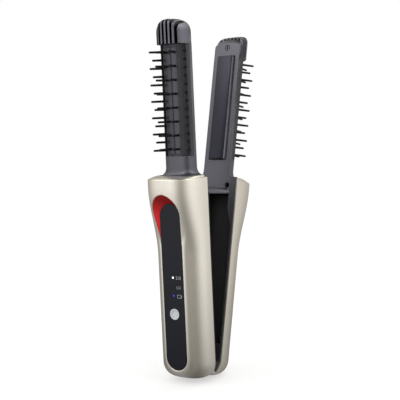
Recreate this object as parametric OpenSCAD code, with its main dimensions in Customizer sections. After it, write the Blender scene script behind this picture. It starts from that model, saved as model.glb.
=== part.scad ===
// Cordless hair volumizing iron: two brush arms on one pivot at the bottom end.
// Each arm is drawn in its own half frame: y = 0 is the mating plane, +y is
// outwards and z runs along the arm from the bottom. place_main() and
// place_lever() set the two halves in the shared frame, the lever swung open.

/* [Handle] */
// Width of both handle shells
handle_w = 40; // [37:0.5:44]
// Height of the handle shells up to the collar
handle_h = 147; // [144:1:152]
// Depth of the main shell below its flare
main_depth = 20; // [19.5:0.5:23]
// Depth of the main shell at the collar
main_collar_depth = 28.6; // [27:0.5:32]
// Depth of the lever shell below its flare
lever_depth = 20.8; // [20:0.2:24]
// Depth of the lever shell at the collar
lever_collar_depth = 29.1; // [27:0.5:33]
// Length of the flare
flare_l = 50; // [44:1:54]
// Straight end of the shells above the flare
flare_end = 6; // [4:0.5:10]
// Squareness of the shell's cross section in the grip
grip_square = 2.75; // [2.3:0.05:3]
// Squareness of the shell's cross section at the collar
collar_square = 3.25; // [2.6:0.05:3.6]
// Height of the rounded bottom end
bottom_round = 12.4; // [9:0.2:13]
// Wall of the shells
wall = 2.6; // [2.4:0.1:2.8]
// Lip of the shell outside the inner frame
lip = 0.9; // [0.7:0.1:1.1]

/* [Opening] */
// Gap between the mating planes of the closed arms
arm_gap = 6.4; // [5.8:0.1:7.2]
// Angle between the arms as shown
open_angle = 13.8; // [10:0.2:16]
// Height of the pivot axis
pivot_z = 5.8; // [5.4:0.1:6.4]
// Outer radius of the pivot knuckles
knuckle_r = 4.9; // [4.2:0.1:5]
// Radius of the pivot pin
pin_r = 1.5; // [1.2:0.1:1.8]
// Distance from the mating plane to the origin on the bottom face
origin_in = 2; // [1.5:0.1:2.4]

/* [Barrel] */
// Width of the brush barrel
barrel_w = 23; // [22:0.5:25]
// Depth of the barrel at its crown
barrel_depth = 10; // [9.5:0.1:11]
// Radius of the crown
crown_r = 14.4; // [13:0.2:16]
// Thickness of the inner frame plate
frame_t = 2.9; // [2.6:0.1:3.2]
// Height of the barrel's straight side walls
side_h = 6.8; // [6.4:0.1:7.2]
// Thickness of the barrel's side walls
side_t = 1.9; // [1.6:0.1:2.1]
// Length of the brush between the neck and the tip
barrel_l = 79.6; // [76:0.2:90]
// Length of the main tip
main_tip_l = 17.9; // [17:0.1:22]
// Length of the lever tip
lever_tip_l = 15; // [14:0.2:18]
// Squareness of the main tip's outer edge
main_tip_edge = 7.2; // [2.4:0.1:9]
// Squareness of the lever tip's outer edge
lever_tip_edge = 12; // [6:0.5:14]
// Rise of the lever tip's top towards its outside, per millimetre of depth
lever_tip_rise = 0.36; // [0:0.05:0.4]

/* [Neck] */
// Depth of the neck
neck_depth = 11; // [10.4:0.1:12]
// Length of the neck above the collar
neck_l = 15.4; // [13:0.2:18]
// Height of the raised middle of the collar's top
collar_rise = 1.4; // [0.8:0.1:2]
// Height of the neck's flare above the collar's top
neck_flare = 5.8; // [4:0.2:8]
// Width of the main neck's foot
main_foot_w = 33; // [29:0.5:34]
// Width of the lever neck's foot
lever_foot_w = 27.4; // [26:0.2:32]
// Depth of the neck's foot
foot_depth = 14; // [13:0.2:16]

/* [Bristles] */
// Distance from the brush's lower end to the first side pin
row_in_low = 4.2; // [3.8:0.1:6]
// Distance from the last side pin to the brush's upper end
row_in_high = 4.84; // [4:0.02:6]
// Pins in a side row
side_count = 13; // [7:2:13]
// Distance that a centre row starts and ends inside the side rows' ends
centre_in = 0.875; // [0:0.125:2]
// Pins in a centre row
centre_count = 8; // [5:1:8]
// Angle of the side rows from the barrel's middle
side_angle = 39.5; // [37:0.5:40]
// Outward lean of the side rows' pins
side_lean = 45; // [39:0.5:47]
// Angle of the centre rows from the barrel's middle
centre_angle = 13.5; // [11:0.5:15]
// Length of the long side pins
long_pin = 10.4; // [9:0.2:12]
// Length of the short side pins
short_pin = 8.3; // [7:0.1:10]
// Length of the centre pins
centre_pin = 11.6; // [10:0.2:13]
// Radius of a pin at its root
pin_root_r = 0.92; // [0.7:0.02:1]

/* [Heater plate] */
// Width of each plate
plate_w = 12.6; // [11:0.2:13]
// Distance that each plate reaches past the brush at either end
plate_over = 0.2; // [0:0.1:1]
// Thickness of each plate
plate_t = 1.5; // [1:0.1:1.8]
// Room left between the closed plates
plate_clear = 0.3; // [0.2:0.1:0.6]
// Slot around the floating plate, on each side
slot_gap = 1.3; // [1:0.1:1.5]
// Travel of the floating plates
plate_travel = 0.8; // [0.5:0.1:1]

/* [Controls] */
// Width of the control panel
panel_w = 17.8; // [16:0.2:19]
// Lower end of the panel
panel_low = 7.8; // [7:0.2:9]
// Distance from the panel's upper end to the collar's top
panel_drop = 17.9; // [16:0.1:23]
// Thickness of the panel
panel_t = 1.6; // [1.3:0.1:1.7]
// Radius of the power button
button_r = 4.1; // [3.4:0.1:4.6]
// Height of the power button's middle above the panel's lower end
button_up = 41.3; // [36:0.1:46]
// Travel of the power button
button_travel = 0.6; // [0.4:0.1:0.7]
// Height of the upper indicator above the power button
light_up = 26.7; // [24:0.1:32]
// Spacing of the indicators
light_pitch = 6.6; // [5:0.1:7]
// Radius of an indicator
light_r = 0.9; // [0.6:0.1:1.1]
// Widening of the thumb recess for each millimetre outwards
scoop_slope = 0.85; // [0.6:0.01:0.95]
// Wall of the thumb recess lining
scoop_t = 1; // [0.8:0.1:1.2]
// Thickness of the shell's edge that covers the lining's rim
scoop_cover = 0.8; // [0.6:0.1:1.1]

/* [Inside] */
// Radius of a battery cell
cell_r = 7; // [6.5:0.1:7]
// Length of a battery cell
cell_l = 64; // [50:1:65]
// Width of the circuit board
board_w = 19; // [15:0.5:20]
// Length of the circuit board
board_l = 52; // [48:1:60]
// Width of the ceramic heaters
heater_w = 10; // [8:0.5:10]
// Thickness of the ceramic heaters
heater_t = 1.4; // [1:0.1:1.5]

/* [Screws] */
// Radius of a screw's head
head_r = 1.9; // [1.6:0.05:2]
// Radius of a screw's shank
shank_r = 1.1; // [0.9:0.05:1.2]
// Distance from the collar screws to the collar's top
collar_screw_drop = 4.9; // [4.4:0.1:5.5]
// Distance of the collar screws from the middle
collar_screw_x = 11; // [10.4:0.1:11.4]
// Height of the tip screws above the tip's lower end
tip_screw_up = 7.2; // [6:0.1:8]

/* [Hidden] */
$fn = 48;

gold = "#c8c2b0";
graphite = "#4c4b52";
black = "#17171a";
navy = "#232632";
red = "#b3161a";
pale = "#dcdcdc";
steel = "#a8a8ac";

// Clearance between pieces that are fitted into each other
fit = 0.1;
// Overshoot of a cut past the face that it opens
past = 1;
// Points on half a cross section
sides = 24;
// Exponent and sideways share of the rounded bottom end
round_power = 2.2;
round_share = 0.85;
// Rounding of the collar's top edge
collar_edge = 1.1;
roof = 1.6;
half_w = handle_w / 2;
flare_high = handle_h - flare_end;
flare_low = flare_high - flare_l;
cover_low = handle_h + neck_l;
tip_low = cover_low + barrel_l;
main_top = tip_low + main_tip_l;
lever_top = tip_low + lever_tip_l;
panel_high = handle_h - panel_drop;
button_z = panel_low + button_up;
light_z = button_z + light_up;
collar_screw_z = handle_h - collar_screw_drop;
half_barrel = barrel_w / 2;
collar_top = handle_h + collar_rise;
neck_square = 3.6;
plate_rise = (arm_gap - plate_clear) / 2;
plate_low = cover_low - plate_over;
plate_high = tip_low + plate_over;
plate_l = plate_high - plate_low;
row_l = barrel_l - row_in_low - row_in_high;
side_pitch = row_l / (side_count - 1);
centre_pitch = (row_l - 2 * centre_in) / (centre_count - 1);
slot_half = plate_w / 2 + slot_gap;
// Depth of the rebate that the inner frame's flange lies in
flange_t = 1.6;
// Thickness of the web behind the collar's screws
web_t = 3.4;
flange_half = half_w - lip;
inner_half = half_w - wall;
web_low = handle_h - 11.4;
mouth_low = 23.4;
mouth_half = half_w - wall;
mouth_top_half = 13.3;
tray_depth = 15;
tray_t = 1.2;
knuckle_split = 12;
knuckle_gap = 0.3;
// Outer end of the lever's knuckles, which stay out of sight between the shells
knuckle_out = 15.4;
// Lowest point of the lever frame's flange, on both sides of the knuckles
flange_foot = 3;
spring_half = 5.4;
cover_proud = arm_gap / 2 - 0.2;
boss_r = 3.3;
boss_y = 7;
head_t = 1;
head_seat = 5.5;
shank_l = 8;

// Bottom, grip and collar of the shells

function smooth(u) = let (c = min(1, max(0, u))) c * c * (3 - 2 * c);

function flare_share(z) = smooth((z - flare_low) / (flare_high - flare_low));

function square_at(z) = grip_square + (collar_square - grip_square) * flare_share(z);

// One half cross section: a flat side on y = 0 and a squarish round beyond it
function half_ring(w, d, square, z) = [
    for (i = [0:sides])
        let (a = 180 * i / sides)
        [w * sign(cos(a)) * pow(abs(cos(a)), 2 / square), d * pow(sin(a), 2 / square), z]
];

// The same, with its flat side carried back to y = -back
function open_ring(w, d, square, z, back) =
    back == 0 ? half_ring(w, d, square, z)
    : concat([[w, -back, z]], half_ring(w, d, square, z), [[-w, -back, z]]);

// Angles that lead from the flat bottom up to the straight wall
bottom_angles = [90, 77, 64, 51, 38, 24, 10, 0];

function bottom_z(a) = bottom_round * (1 - pow(sin(a), 2 / round_power));
function bottom_inset(a) = bottom_round * (1 - pow(max(0, cos(a)), 2 / round_power));

flare_steps = 10;
flare_levels = [
    for (i = [0:flare_steps]) flare_low + (flare_high - flare_low) * i / flare_steps
];

// Cross sections of a shell, taken in by inset and carried back past the mating plane
function bottom_rings(d, inset, back) = [
    for (a = bottom_angles)
        open_ring(
            half_w - inset - round_share * bottom_inset(a),
            d - inset - bottom_inset(a), grip_square, bottom_z(a), back)
];

function flare_rings(d, collar_d, inset, back) = [
    for (z = flare_levels)
        open_ring(
            half_w - inset, d + (collar_d - d) * flare_share(z) - inset,
            square_at(z), z, back)
];

function collar_rings(collar_d, inset, back) = [
    for (a = [0, 45, 90])
        let (e = inset + collar_edge * (1 - cos(a)))
        open_ring(
            half_w - e, collar_d - e, collar_square,
            handle_h - collar_edge * (1 - sin(a)), back)
];

function shell_rings(d, collar_d) = concat(
    bottom_rings(d, 0, 0), flare_rings(d, collar_d, 0, 0), collar_rings(collar_d, 0, 0));

// Cross sections of the room inside a shell
function room_rings(d, collar_d) = concat(
    [for (a = [70, 40, 0])
        open_ring(
            half_w - wall - round_share * bottom_inset(a),
            d - wall - bottom_inset(a), grip_square, wall + bottom_z(a), past)],
    [for (i = [0:2:flare_steps])
        let (z = flare_levels[i])
        open_ring(
            half_w - wall, d + (collar_d - d) * flare_share(z) - wall, square_at(z), z, past)],
    [open_ring(half_w - wall, collar_d - wall, collar_square, handle_h - roof, past)]
);

module loft(rings) {
    n = len(rings[0]);
    last = len(rings) - 1;
    points = [for (ring = rings) for (p = ring) p];
    walls = [
        for (k = [0:last - 1])
            for (i = [0:n - 1])
                let (j = (i + 1) % n, a = k * n + i, b = k * n + j)
                each [[a, b + n, b], [a, a + n, b + n]]
    ];
    low = [[for (i = [0:n - 1]) i]];
    high = [[for (i = [n - 1:-1:0]) last * n + i]];
    polyhedron(points = points, faces = concat(low, walls, high), convexity = 8);
}

function flat(ring) = [for (p = ring) [p[0], p[1]]];

// Straight solid with a half cross section, from z0 to z1
module half_prism(w, d, square, z0, z1, back = 0) {
    outline = back > 0 ? open_ring(w, d, square, 0, back) : half_ring(w, d, square, 0);
    translate([0, 0, z0])
        linear_extrude(z1 - z0)
            polygon(flat(outline));
}

// Solid between y0 and y1 whose outline is drawn in x and z
module slab(y0, y1) {
    translate([0, y1, 0])
        rotate([90, 0, 0])
            linear_extrude(y1 - y0)
                children();
}

module block(x0, x1, y0, y1, z0, z1) {
    translate([x0, y0, z0])
        cube([x1 - x0, y1 - y0, z1 - z0]);
}

// Rod along y, tapered if r2 is given
module rod(x, z, y0, y1, r1, r2 = -1) {
    translate([x, y0, z])
        rotate([-90, 0, 0])
            cylinder(h = y1 - y0, r1 = r1, r2 = r2 < 0 ? r1 : r2);
}

// Rod along x on the pivot axis of a half frame
module pivot_rod(x0, x1, r) {
    translate([x0, -arm_gap / 2, pivot_z])
        rotate([0, 90, 0])
            cylinder(h = x1 - x0, r = r);
}

module place_main() {
    translate([0, origin_in, 0])
        mirror([0, 1, 0])
            children();
}

module place_lever() {
    translate([0, origin_in + arm_gap / 2, pivot_z])
        rotate([-open_angle, 0, 0])
            translate([0, arm_gap / 2, -pivot_z])
                children();
}

module both_sides() {
    children();
    mirror([1, 0, 0])
        children();
}

// Shells

// Outline of the flange at the mating plane, taken in from the shell's outline
function flange_outline(inset, z_low, z_high) =
    let (right = [
        for (a = bottom_angles)
            if (bottom_z(a) > z_low)
                [half_w - inset - round_share * bottom_inset(a), bottom_z(a)]
    ])
    concat(
        [[half_w - inset - round_share * bottom_inset(asin(pow(
            max(0, 1 - z_low / bottom_round), round_power / 2))), z_low]],
        right,
        [[half_w - inset, z_high], [-half_w + inset, z_high]],
        [for (i = [len(right) - 1:-1:0]) [-right[i][0], right[i][1]]],
        [[-half_w + inset + round_share * bottom_inset(asin(pow(
            max(0, 1 - z_low / bottom_round), round_power / 2))), z_low]]
    );

// Raised middle of the collar's top: a low step, then a slope down to the front
function plate_rings(collar_d) = [
    collar_ring_at(collar_d, plate_in, 0, -collar_edge),
    collar_ring_at(collar_d, plate_in, 0, collar_rise * 0.2),
    collar_ring_at(collar_d, plate_in, 5, collar_rise * 0.75),
    collar_ring_at(collar_d, plate_in + 0.3, 10, collar_rise)
];

plate_in = 1.3;

function collar_ring_at(collar_d, inset, front, up) = half_ring(
    half_w - inset, collar_d - inset - front, collar_square, handle_h + up);

module shell(d, collar_d, foot_w, flange_z) {
    difference() {
        union() {
            loft(shell_rings(d, collar_d));
            loft(plate_rings(collar_d));
        }
        loft(room_rings(d, collar_d));
        half_prism(
            foot_w / 2 + fit, foot_depth + fit, neck_square,
            handle_h - roof - past, collar_top + past, past);
        slab(-past, flange_t)
            polygon(flange_outline(lip, flange_z, collar_top + past));
    }
}

knuckle_top = pivot_z + knuckle_r + knuckle_gap;
// Depth that the webs of the lever's knuckles reach into the shell
knuckle_web = wall + 2;

// Bosses in the collar that take the collar screws
module collar_bosses(collar_d) {
    both_sides()
        difference() {
            rod(collar_screw_x, collar_screw_z, boss_y, collar_d - wall - 1.5, boss_r);
            rod(collar_screw_x, collar_screw_z, boss_y - past, boss_y + shank_l, shank_r);
        }
}

module boss_roof_ties(collar_d) {
    both_sides()
        block(
            collar_screw_x - 1, collar_screw_x + 1, boss_y, collar_d - wall - 1.5,
            collar_screw_z + shank_r + 0.6, handle_h - roof);
}

module main_housing() {
    color(gold)
        place_main()
            difference() {
                union() {
                    shell(main_depth, main_collar_depth, main_foot_w, knuckle_top);
                    boss_roof_ties(main_collar_depth);
                    collar_bosses(main_collar_depth);
                }
                panel_pocket();
                scoop_form(0, -scoop_back - 0.02, scoop_reach);
                covered_scoop(scoop_t, -scoop_back - 0.02, scoop_cover);
                both_sides()
                    pivot_rod(
                        knuckle_split, knuckle_out + knuckle_gap,
                        knuckle_r + knuckle_gap);
                pivot_rod(-knuckle_split - fit, knuckle_split + fit, knuckle_r + fit);
                socket_form(fit, -past);
            }
}

module lever_housing() {
    color(gold)
        place_lever()
            difference() {
                union() {
                    difference() {
                        shell(lever_depth, lever_collar_depth, lever_foot_w, flange_foot);
                        pivot_rod(
                            -knuckle_split - knuckle_gap, knuckle_split + knuckle_gap,
                            knuckle_r + knuckle_gap);
                    }
                    boss_roof_ties(lever_collar_depth);
                    collar_bosses(lever_collar_depth);
                    intersection() {
                        both_sides()
                            lever_knuckle();
                        loft(bottom_rings(lever_depth, 0, arm_gap));
                    }
                }
                pivot_rod(-knuckle_out - past, pin_half + fit, pin_r + pin_play);
            }
}

// Knuckle of the lever with its webs to the shell's bottom and side
module lever_knuckle() {
    x0 = knuckle_split + knuckle_gap;
    z0 = pivot_z - knuckle_r * 0.9;
    pivot_rod(x0, knuckle_out, knuckle_r);
    block(x0, knuckle_out, -arm_gap / 2, knuckle_web, z0, pivot_z + knuckle_r);
    block(x0, half_w - wall, flange_t + fit, knuckle_web, z0, pivot_z + knuckle_r);
}

// Thumb recess and control panel

panel_half = panel_w / 2;
ledge = 1.6;
arch_z = panel_high - panel_half;
panel_face = main_depth - 0.15;

module stadium(w, z0, z1) {
    translate([0, z0 + w])
        circle(r = w);
    translate([0, z1 - w])
        circle(r = w);
    translate([-w, z0 + w])
        square([2 * w, z1 - z0 - 2 * w]);
}

// Flaring recess whose walls stand grow outside the panel's edge
module scoop_form(grow, in, out) {
    r0 = panel_half + fit + grow;
    r1 = r0 + scoop_slope * out;
    z0 = flare_low + 1;
    rod(0, arch_z, panel_face + in, panel_face, r0);
    block(-r0, r0, panel_face + in, panel_face, z0, arch_z);
    rod(0, arch_z, panel_face, panel_face + out, r0, r1);
    translate([0, 0, z0])
        linear_extrude(arch_z - z0)
            polygon([
                [-r0, panel_face - 0.01], [r0, panel_face - 0.01],
                [r1, panel_face + out], [-r1, panel_face + out]
            ]);
}

// The recess's form below the shell's edge
module covered_scoop(grow, in, cover) {
    intersection() {
        scoop_form(grow, in, scoop_reach);
        loft(flare_rings(main_depth, main_collar_depth, cover, 0));
    }
}

// Depth of the lining's seat behind the panel's face
scoop_back = panel_t + 1.8;
// Distance that the recess's form reaches outwards, past the collar's face
scoop_reach = main_collar_depth - main_depth + 4;

module thumb_scoop() {
    color(red)
        place_main()
            difference() {
                covered_scoop(scoop_t - fit, -scoop_back, scoop_cover + fit);
                difference() {
                    scoop_form(0, -scoop_back - past, scoop_reach + past);
                    loft(panel_rings(panel_t + 0.02));
                }
                slab(panel_face - scoop_back - past, panel_face)
                    stadium(panel_half - ledge, panel_low + 2, panel_high - ledge);
            }
}

// Room for the panel: a seat as wide as the panel, and a window behind it
module panel_pocket() {
    difference() {
        slab(main_depth - 6, main_depth + past)
            stadium(panel_half + fit, panel_low - fit, panel_high + fit);
        loft(panel_rings(panel_t));
        slab(0, main_collar_depth)
            translate([-half_w, arch_z])
                square([handle_w, handle_h]);
    }
    slab(main_depth - 8, main_depth)
        stadium(panel_half - ledge, panel_low + 2, panel_high - ledge);
}

// The grip's outer face without its flare, taken in by inset
function panel_rings(inset) = concat(
    [for (a = bottom_angles)
        half_ring(
            half_w - inset - round_share * bottom_inset(a),
            panel_face - inset - bottom_inset(a), grip_square, bottom_z(a))],
    [half_ring(half_w - inset, panel_face - inset, grip_square, handle_h)]
);

module control_panel() {
    color(navy)
        place_main()
            difference() {
                intersection() {
                    slab(main_depth - 8, main_depth)
                        stadium(panel_half, panel_low, panel_high);
                    loft(panel_rings(0));
                }
                loft(panel_rings(panel_t));
                rod(0, button_z, 0, main_depth, button_r + 0.15);
                for (i = [0:2])
                    rod(0, light_z - i * light_pitch, 0, main_depth, light_r + 0.02);
            }
}

button_face = panel_face + 0.5;
flange_y = panel_face - panel_t - 1.5;

module power_button() {
    color(pale)
        place_main() {
            rod(0, button_z, flange_y, button_face - 0.5, button_r);
            rod(0, button_z, button_face - 0.5, button_face, button_r, button_r - 0.6);
            rod(0, button_z, flange_y, flange_y + 1, button_r + 0.8);
        }
}

// The board lies under the button's flange, with room for the switch
board_t = 1.2;
board_y = flange_y - board_t - 1.95;
board_low = button_z - 13;

module circuit_board() {
    color("#1f5a35")
        place_main()
            block(
                -board_w / 2, board_w / 2, board_y, board_y + board_t,
                board_low, board_low + board_l);
}

module tact_switch() {
    top = flange_y - button_travel;
    color(steel)
        place_main() {
            block(-3, 3, board_y + board_t, top - 0.6, button_z - 3, button_z + 3);
            rod(0, button_z, board_y + board_t, top, 1.6);
        }
}

module indicator_lights() {
    color(pale)
        place_main()
            for (i = [0:2]) {
                z = light_z - i * light_pitch;
                rod(0, z, board_y + board_t, panel_face - 0.02, light_r);
                rod(0, z, board_y + board_t, board_y + board_t + 1, light_r + 0.5);
            }
}

// Opening of the charging socket, drawn at the bottom end
module socket_form(grow, z0) {
    y = socket_y;
    for (x = [-1, 1])
        translate([x * 2.9, y, z0])
            cylinder(h = 7 - z0, r = 1.6 + grow);
    block(-2.9, 2.9, y - 1.6 - grow, y + 1.6 + grow, z0, 7);
}

socket_y = 5.6;

module charging_socket() {
    color(steel)
        place_main()
            difference() {
                union() {
                    socket_form(0, 0.4);
                    block(-5.5, 5.5, socket_y - 1.9, socket_y + 1.9, 7, 9);
                }
                for (x = [-1, 1])
                    translate([x * 2.9, socket_y, 0])
                        cylinder(h = 6.5, r = 1.25);
                difference() {
                    block(-2.9, 2.9, socket_y - 1.25, socket_y + 1.25, 0, 6.5);
                    block(-2.4, 2.4, socket_y - 0.35, socket_y + 0.35, 1.2, 7);
                }
            }
}

cell_y = cell_r - 1.2;
cell_low = knuckle_top + 11;

module battery_cells() {
    color("#3b6ea5")
        place_main()
            both_sides() {
                translate([cell_r + 0.4, cell_y, cell_low])
                    cylinder(h = cell_l, r = cell_r);
                translate([cell_r + 0.4, cell_y, cell_low + cell_l])
                    cylinder(h = 1.2, r = cell_r * 0.37);
            }
}

// Black cover over the main handle, with the middle knuckle of the pivot
module main_inner_cover() {
    z0 = knuckle_top + cover_in;
    color(black)
        place_main()
            difference() {
                union() {
                    difference() {
                        slab(-cover_proud, flange_t)
                            polygon(flange_outline(lip + fit, z0, web_low));
                        slab(0 - cover_proud + 1.5, flange_t + past)
                            polygon(flange_outline(lip + 1.6, z0 + 1.5, web_low - 1.5));
                    }
                    slab(-cover_proud, -cover_proud + 1.5)
                        polygon(flange_outline(lip + 1, z0 + 0.5, web_low - 0.5));
                    both_sides()
                        pivot_rod(spring_half + 0.2, knuckle_split, knuckle_r);
                    both_sides()
                        block(
                            spring_half + 0.2, knuckle_split, -cover_proud, 1.6,
                            pivot_z, z0 + 2);
                }
                pivot_rod(-half_w, half_w, pin_r);
                both_sides()
                    pivot_rod(
                        knuckle_split, knuckle_out + knuckle_gap,
                        knuckle_r + knuckle_gap);
                translate([0, -cover_proud, 0])
                    cover_edge_cut(z0);
            }
}

// Room between the knuckles and what starts above them
cover_in = 0.6;

// Bevel along the cover's proud edges
module cover_edge_cut(z0) {
    both_sides()
        translate([flange_half, 0, z0 - past])
            rotate([0, 0, 45])
                cube([1, 1, web_low - z0 + 2 * past], center = false);
}

module hinge_pin() {
    color(steel)
        place_main()
            pivot_rod(-pin_half, pin_half, pin_r);
}

pin_half = knuckle_out - 1.2;
pin_play = 0.05;

// Opening spring: one wire wound round the pin, with a leg in front of each arm.
// Points are given from the pivot axis; angles run from +z towards +y.
wire_r = 0.5;
coil_r = pin_r + wire_r + 0.35;
coil_turns = 5;
turn_steps = 14;
wire_sides = 6;
leg_z = knuckle_r + 0.5;
leg_l = 7;
// Height of a leg's wire above the pivot on the way to each arm
main_leg_y = arm_gap / 2 - cover_proud - wire_r;
lever_leg_y = arm_gap / 2 - wire_r;

// Angle at which a wire through (y, z) touches the coil
function touch_angle(y, z) = atan2(y, z) + acos(coil_r / norm([y, z]));

function turned(p, a) =
    [p[0], p[1] * cos(a) + p[2] * sin(a), -p[1] * sin(a) + p[2] * cos(a)];

spring_path =
    let (
        a0 = touch_angle(main_leg_y, leg_z),
        a1 = 360 * coil_turns - open_angle - touch_angle(lever_leg_y, leg_z),
        n = round((a1 - a0) / 360 * turn_steps),
        x0 = -spring_half + 1
    )
    concat(
        [[x0, main_leg_y, leg_z + leg_l], [x0, main_leg_y, leg_z]],
        [for (i = [0:n])
            let (a = a0 + (a1 - a0) * i / n)
            [x0 - 2 * x0 * i / n, coil_r * sin(a), coil_r * cos(a)]],
        [for (z = [leg_z, leg_z + leg_l]) turned([-x0, -lever_leg_y, z], -open_angle)]
    );

// Round wire along a path whose turns lie across the x axis
function wire_rings(path) = [
    for (i = [0:len(path) - 1])
        let (
            along = path[min(i + 1, len(path) - 1)] - path[max(i - 1, 0)],
            t = along / norm(along),
            u = [1, 0, 0] - t[0] * t,
            v = cross(t, u / norm(u))
        )
        [for (k = [0:wire_sides - 1])
            let (b = 360 * k / wire_sides)
            path[i] + wire_r * (cos(b) * u / norm(u) + sin(b) * v)]
];

module hinge_spring() {
    color(steel)
        place_main()
            translate([0, -arm_gap / 2, pivot_z])
                loft(wire_rings(spring_path));
}

// Frames with neck and foot

function neck_rings(foot_w) = concat(
    [half_ring(foot_w / 2, foot_depth, neck_square, handle_h - roof)],
    [for (i = [0:8])
        let (u = 1 - cos(90 * i / 8), s = 1 - sqrt(1 - (1 - u) * (1 - u)))
        half_ring(
            half_barrel + (foot_w / 2 - half_barrel) * s,
            neck_depth + (foot_depth - neck_depth) * s,
            neck_square, collar_top + neck_flare * u)],
    [half_ring(half_barrel, neck_depth, neck_square, cover_low)]
);

// Outline of the tip: straight sides, then a squarish round top
function tip_outline(tip, from, inset) =
    let (
        right = [
            for (a = [0:10:90])
                [(half_tip - inset) * pow(max(0, cos(a)), 2 / tip[1]),
                 tip[0] - tip[2] + (tip[2] - inset) * pow(sin(a), 2 / tip[1])]
        ]
    )
    concat(
        [[half_tip - inset, from]], right,
        [for (i = [len(right) - 2:-1:0]) [-right[i][0], right[i][1]]],
        [[-half_tip + inset, from]]
    );

half_tip = half_barrel + 0.3;
tip_depth = 16;
tip_square = 3.4;
// Each tip: its top, how square its arch is, the arch's height, how square its outer
// edge is, and how much its top rises outwards
main_tip = [main_top, 2.16, main_tip_l * 0.55, main_tip_edge, 0];
lever_tip = [lever_top, 3, lever_tip_l * 0.5, lever_tip_edge, lever_tip_rise];

module frame_body(foot_w, tip) {
    slab(0, frame_t)
        union() {
            translate([-half_barrel, handle_h])
                square([barrel_w, tip_low - handle_h]);
            polygon(tip_outline(tip, tip_low, 0.4));
        }
    loft(neck_rings(foot_w));
}

// What is cut from a frame: the plate's slot, the screw holes and the seam line
module frame_cuts() {
    block(
        -slot_half, slot_half, -past, frame_t + past,
        plate_low - 0.4, plate_high + 0.4);
    rod(0, tip_low + tip_screw_up, -past, head_t + 0.2, head_r + 0.15);
    rod(0, tip_low + tip_screw_up, -past, frame_t + past, shank_r + 0.1);
    both_sides() {
        rod(collar_screw_x, collar_screw_z, -past, head_seat, head_r + 0.1);
        rod(collar_screw_x, collar_screw_z, -past, boss_y + past, shank_r + 0.1);
    }
}

// Web panel in the collar, with the screw pillars
module collar_web(foot_w) {
    slab(0, flange_t)
        polygon([
            [-flange_half + fit, web_low], [flange_half - fit, web_low],
            [flange_half - fit, handle_h - collar_edge],
            [half_w - plate_in - 0.3, collar_top], [-half_w + plate_in + 0.3, collar_top],
            [-flange_half + fit, handle_h - collar_edge]
        ]);
    block(
        -mouth_top_half, mouth_top_half, 0, web_t,
        web_low, handle_h - roof + 0.5);
    both_sides()
        rod(collar_screw_x, collar_screw_z, 0, boss_y, boss_r);
}

module main_frame() {
    color(graphite)
        place_main()
            difference() {
                union() {
                    frame_body(main_foot_w, main_tip);
                    collar_web(main_foot_w);
                }
                frame_cuts();
            }
}

// Mouth of the lever's hollow handle
module mouth_outline() {
    bend_low = web_low - mouth_bend_low;
    bend_high = web_low - mouth_bend_high;
    polygon(concat(
        [[mouth_half, mouth_low]],
        [for (i = [0:8])
            let (u = i / 8)
            [mouth_half + (mouth_top_half - mouth_half) * smooth(u),
             bend_low + (bend_high - bend_low) * u]],
        [[mouth_top_half, web_low], [-mouth_top_half, web_low]],
        [for (i = [8:-1:0])
            let (u = i / 8)
            [-mouth_half - (mouth_top_half - mouth_half) * smooth(u),
             bend_low + (bend_high - bend_low) * u]],
        [[-mouth_half, mouth_low]]
    ));
}

// Distances from the web down to both ends of the mouth's bend
mouth_bend_low = 26;
mouth_bend_high = 9;

module lever_frame() {
    cut = knuckle_out + knuckle_gap;
    color(graphite)
        place_lever()
            difference() {
                union() {
                    frame_body(lever_foot_w, lever_tip);
                    collar_web(lever_foot_w);
                    slab(0, flange_t)
                        polygon(flange_outline(lip + fit, flange_foot + fit, web_low));
                }
                frame_cuts();
                slab(-past, flange_t + past)
                    mouth_outline();
                block(-cut, cut, -past, flange_t + past, 0, knuckle_top + cover_in);
            }
}

// Black tray behind the mouth
module lever_liner() {
    z0 = mouth_low - tray_t;
    z1 = web_low + tray_t;
    color(black)
        place_lever()
            difference() {
                intersection() {
                    half_prism(inner_half - fit, tray_depth, grip_square, z0, z1);
                    block(-half_w, half_w, flange_t, tray_depth + past, z0, z1);
                }
                difference() {
                    half_prism(
                        inner_half - fit - tray_t, tray_depth - tray_t, grip_square,
                        mouth_low, web_low, past);
                }
                block(
                    -mouth_top_half - fit, mouth_top_half + fit, 0, web_t + fit,
                    web_low - past, z1 + past);
            }
}

// Barrel covers

crown_y = barrel_depth - crown_r;

// Points on a circle about the crown's centre, angles from +y towards +x
function crown_arc(r, a0, a1, n) = [
    for (i = [0:n])
        let (a = a0 + (a1 - a0) * i / n)
        [r * sin(a), crown_y + r * cos(a)]
];

// Sector of the crown, widened by play on each side
module sector(r0, r1, a0, a1, play = 0) {
    s = sign(a1 - a0) * play;
    polygon(concat(
        crown_arc(r1, a0 - s, a1 + s, 8),
        crown_arc(r0, a1 + s, a1 + s, 1), crown_arc(r0, a1, a0, 8),
        play > 0 ? crown_arc(r0, a0 - s, a0 - s, 1) : []
    ));
}

module barrel_profile() {
    rim = half_barrel - side_lip;
    edge = asin(rim / crown_r);
    difference() {
        polygon(concat(
            [[-half_barrel, frame_t], [-half_barrel, side_h - 0.4],
             [-half_barrel + 0.4, side_h], [-rim, side_h]],
            crown_arc(crown_r, -edge, edge, 24),
            [[rim, side_h], [half_barrel - 0.4, side_h],
             [half_barrel, side_h - 0.4], [half_barrel, frame_t]]
        ));
        intersection() {
            translate([-half_barrel + side_t, frame_t - past])
                square([barrel_w - 2 * side_t, barrel_depth]);
            translate([0, crown_y])
                circle(r = crown_r - crown_t);
        }
    }
}

// Width of the lip along the side walls, and thickness of the crown
side_lip = 1;
crown_t = 1.8;
strip_t = 1;
strip_proud = 0.2;
centre_spread = 6;
side_spread = 5;
rows_low = cover_low + row_in_low;

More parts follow.
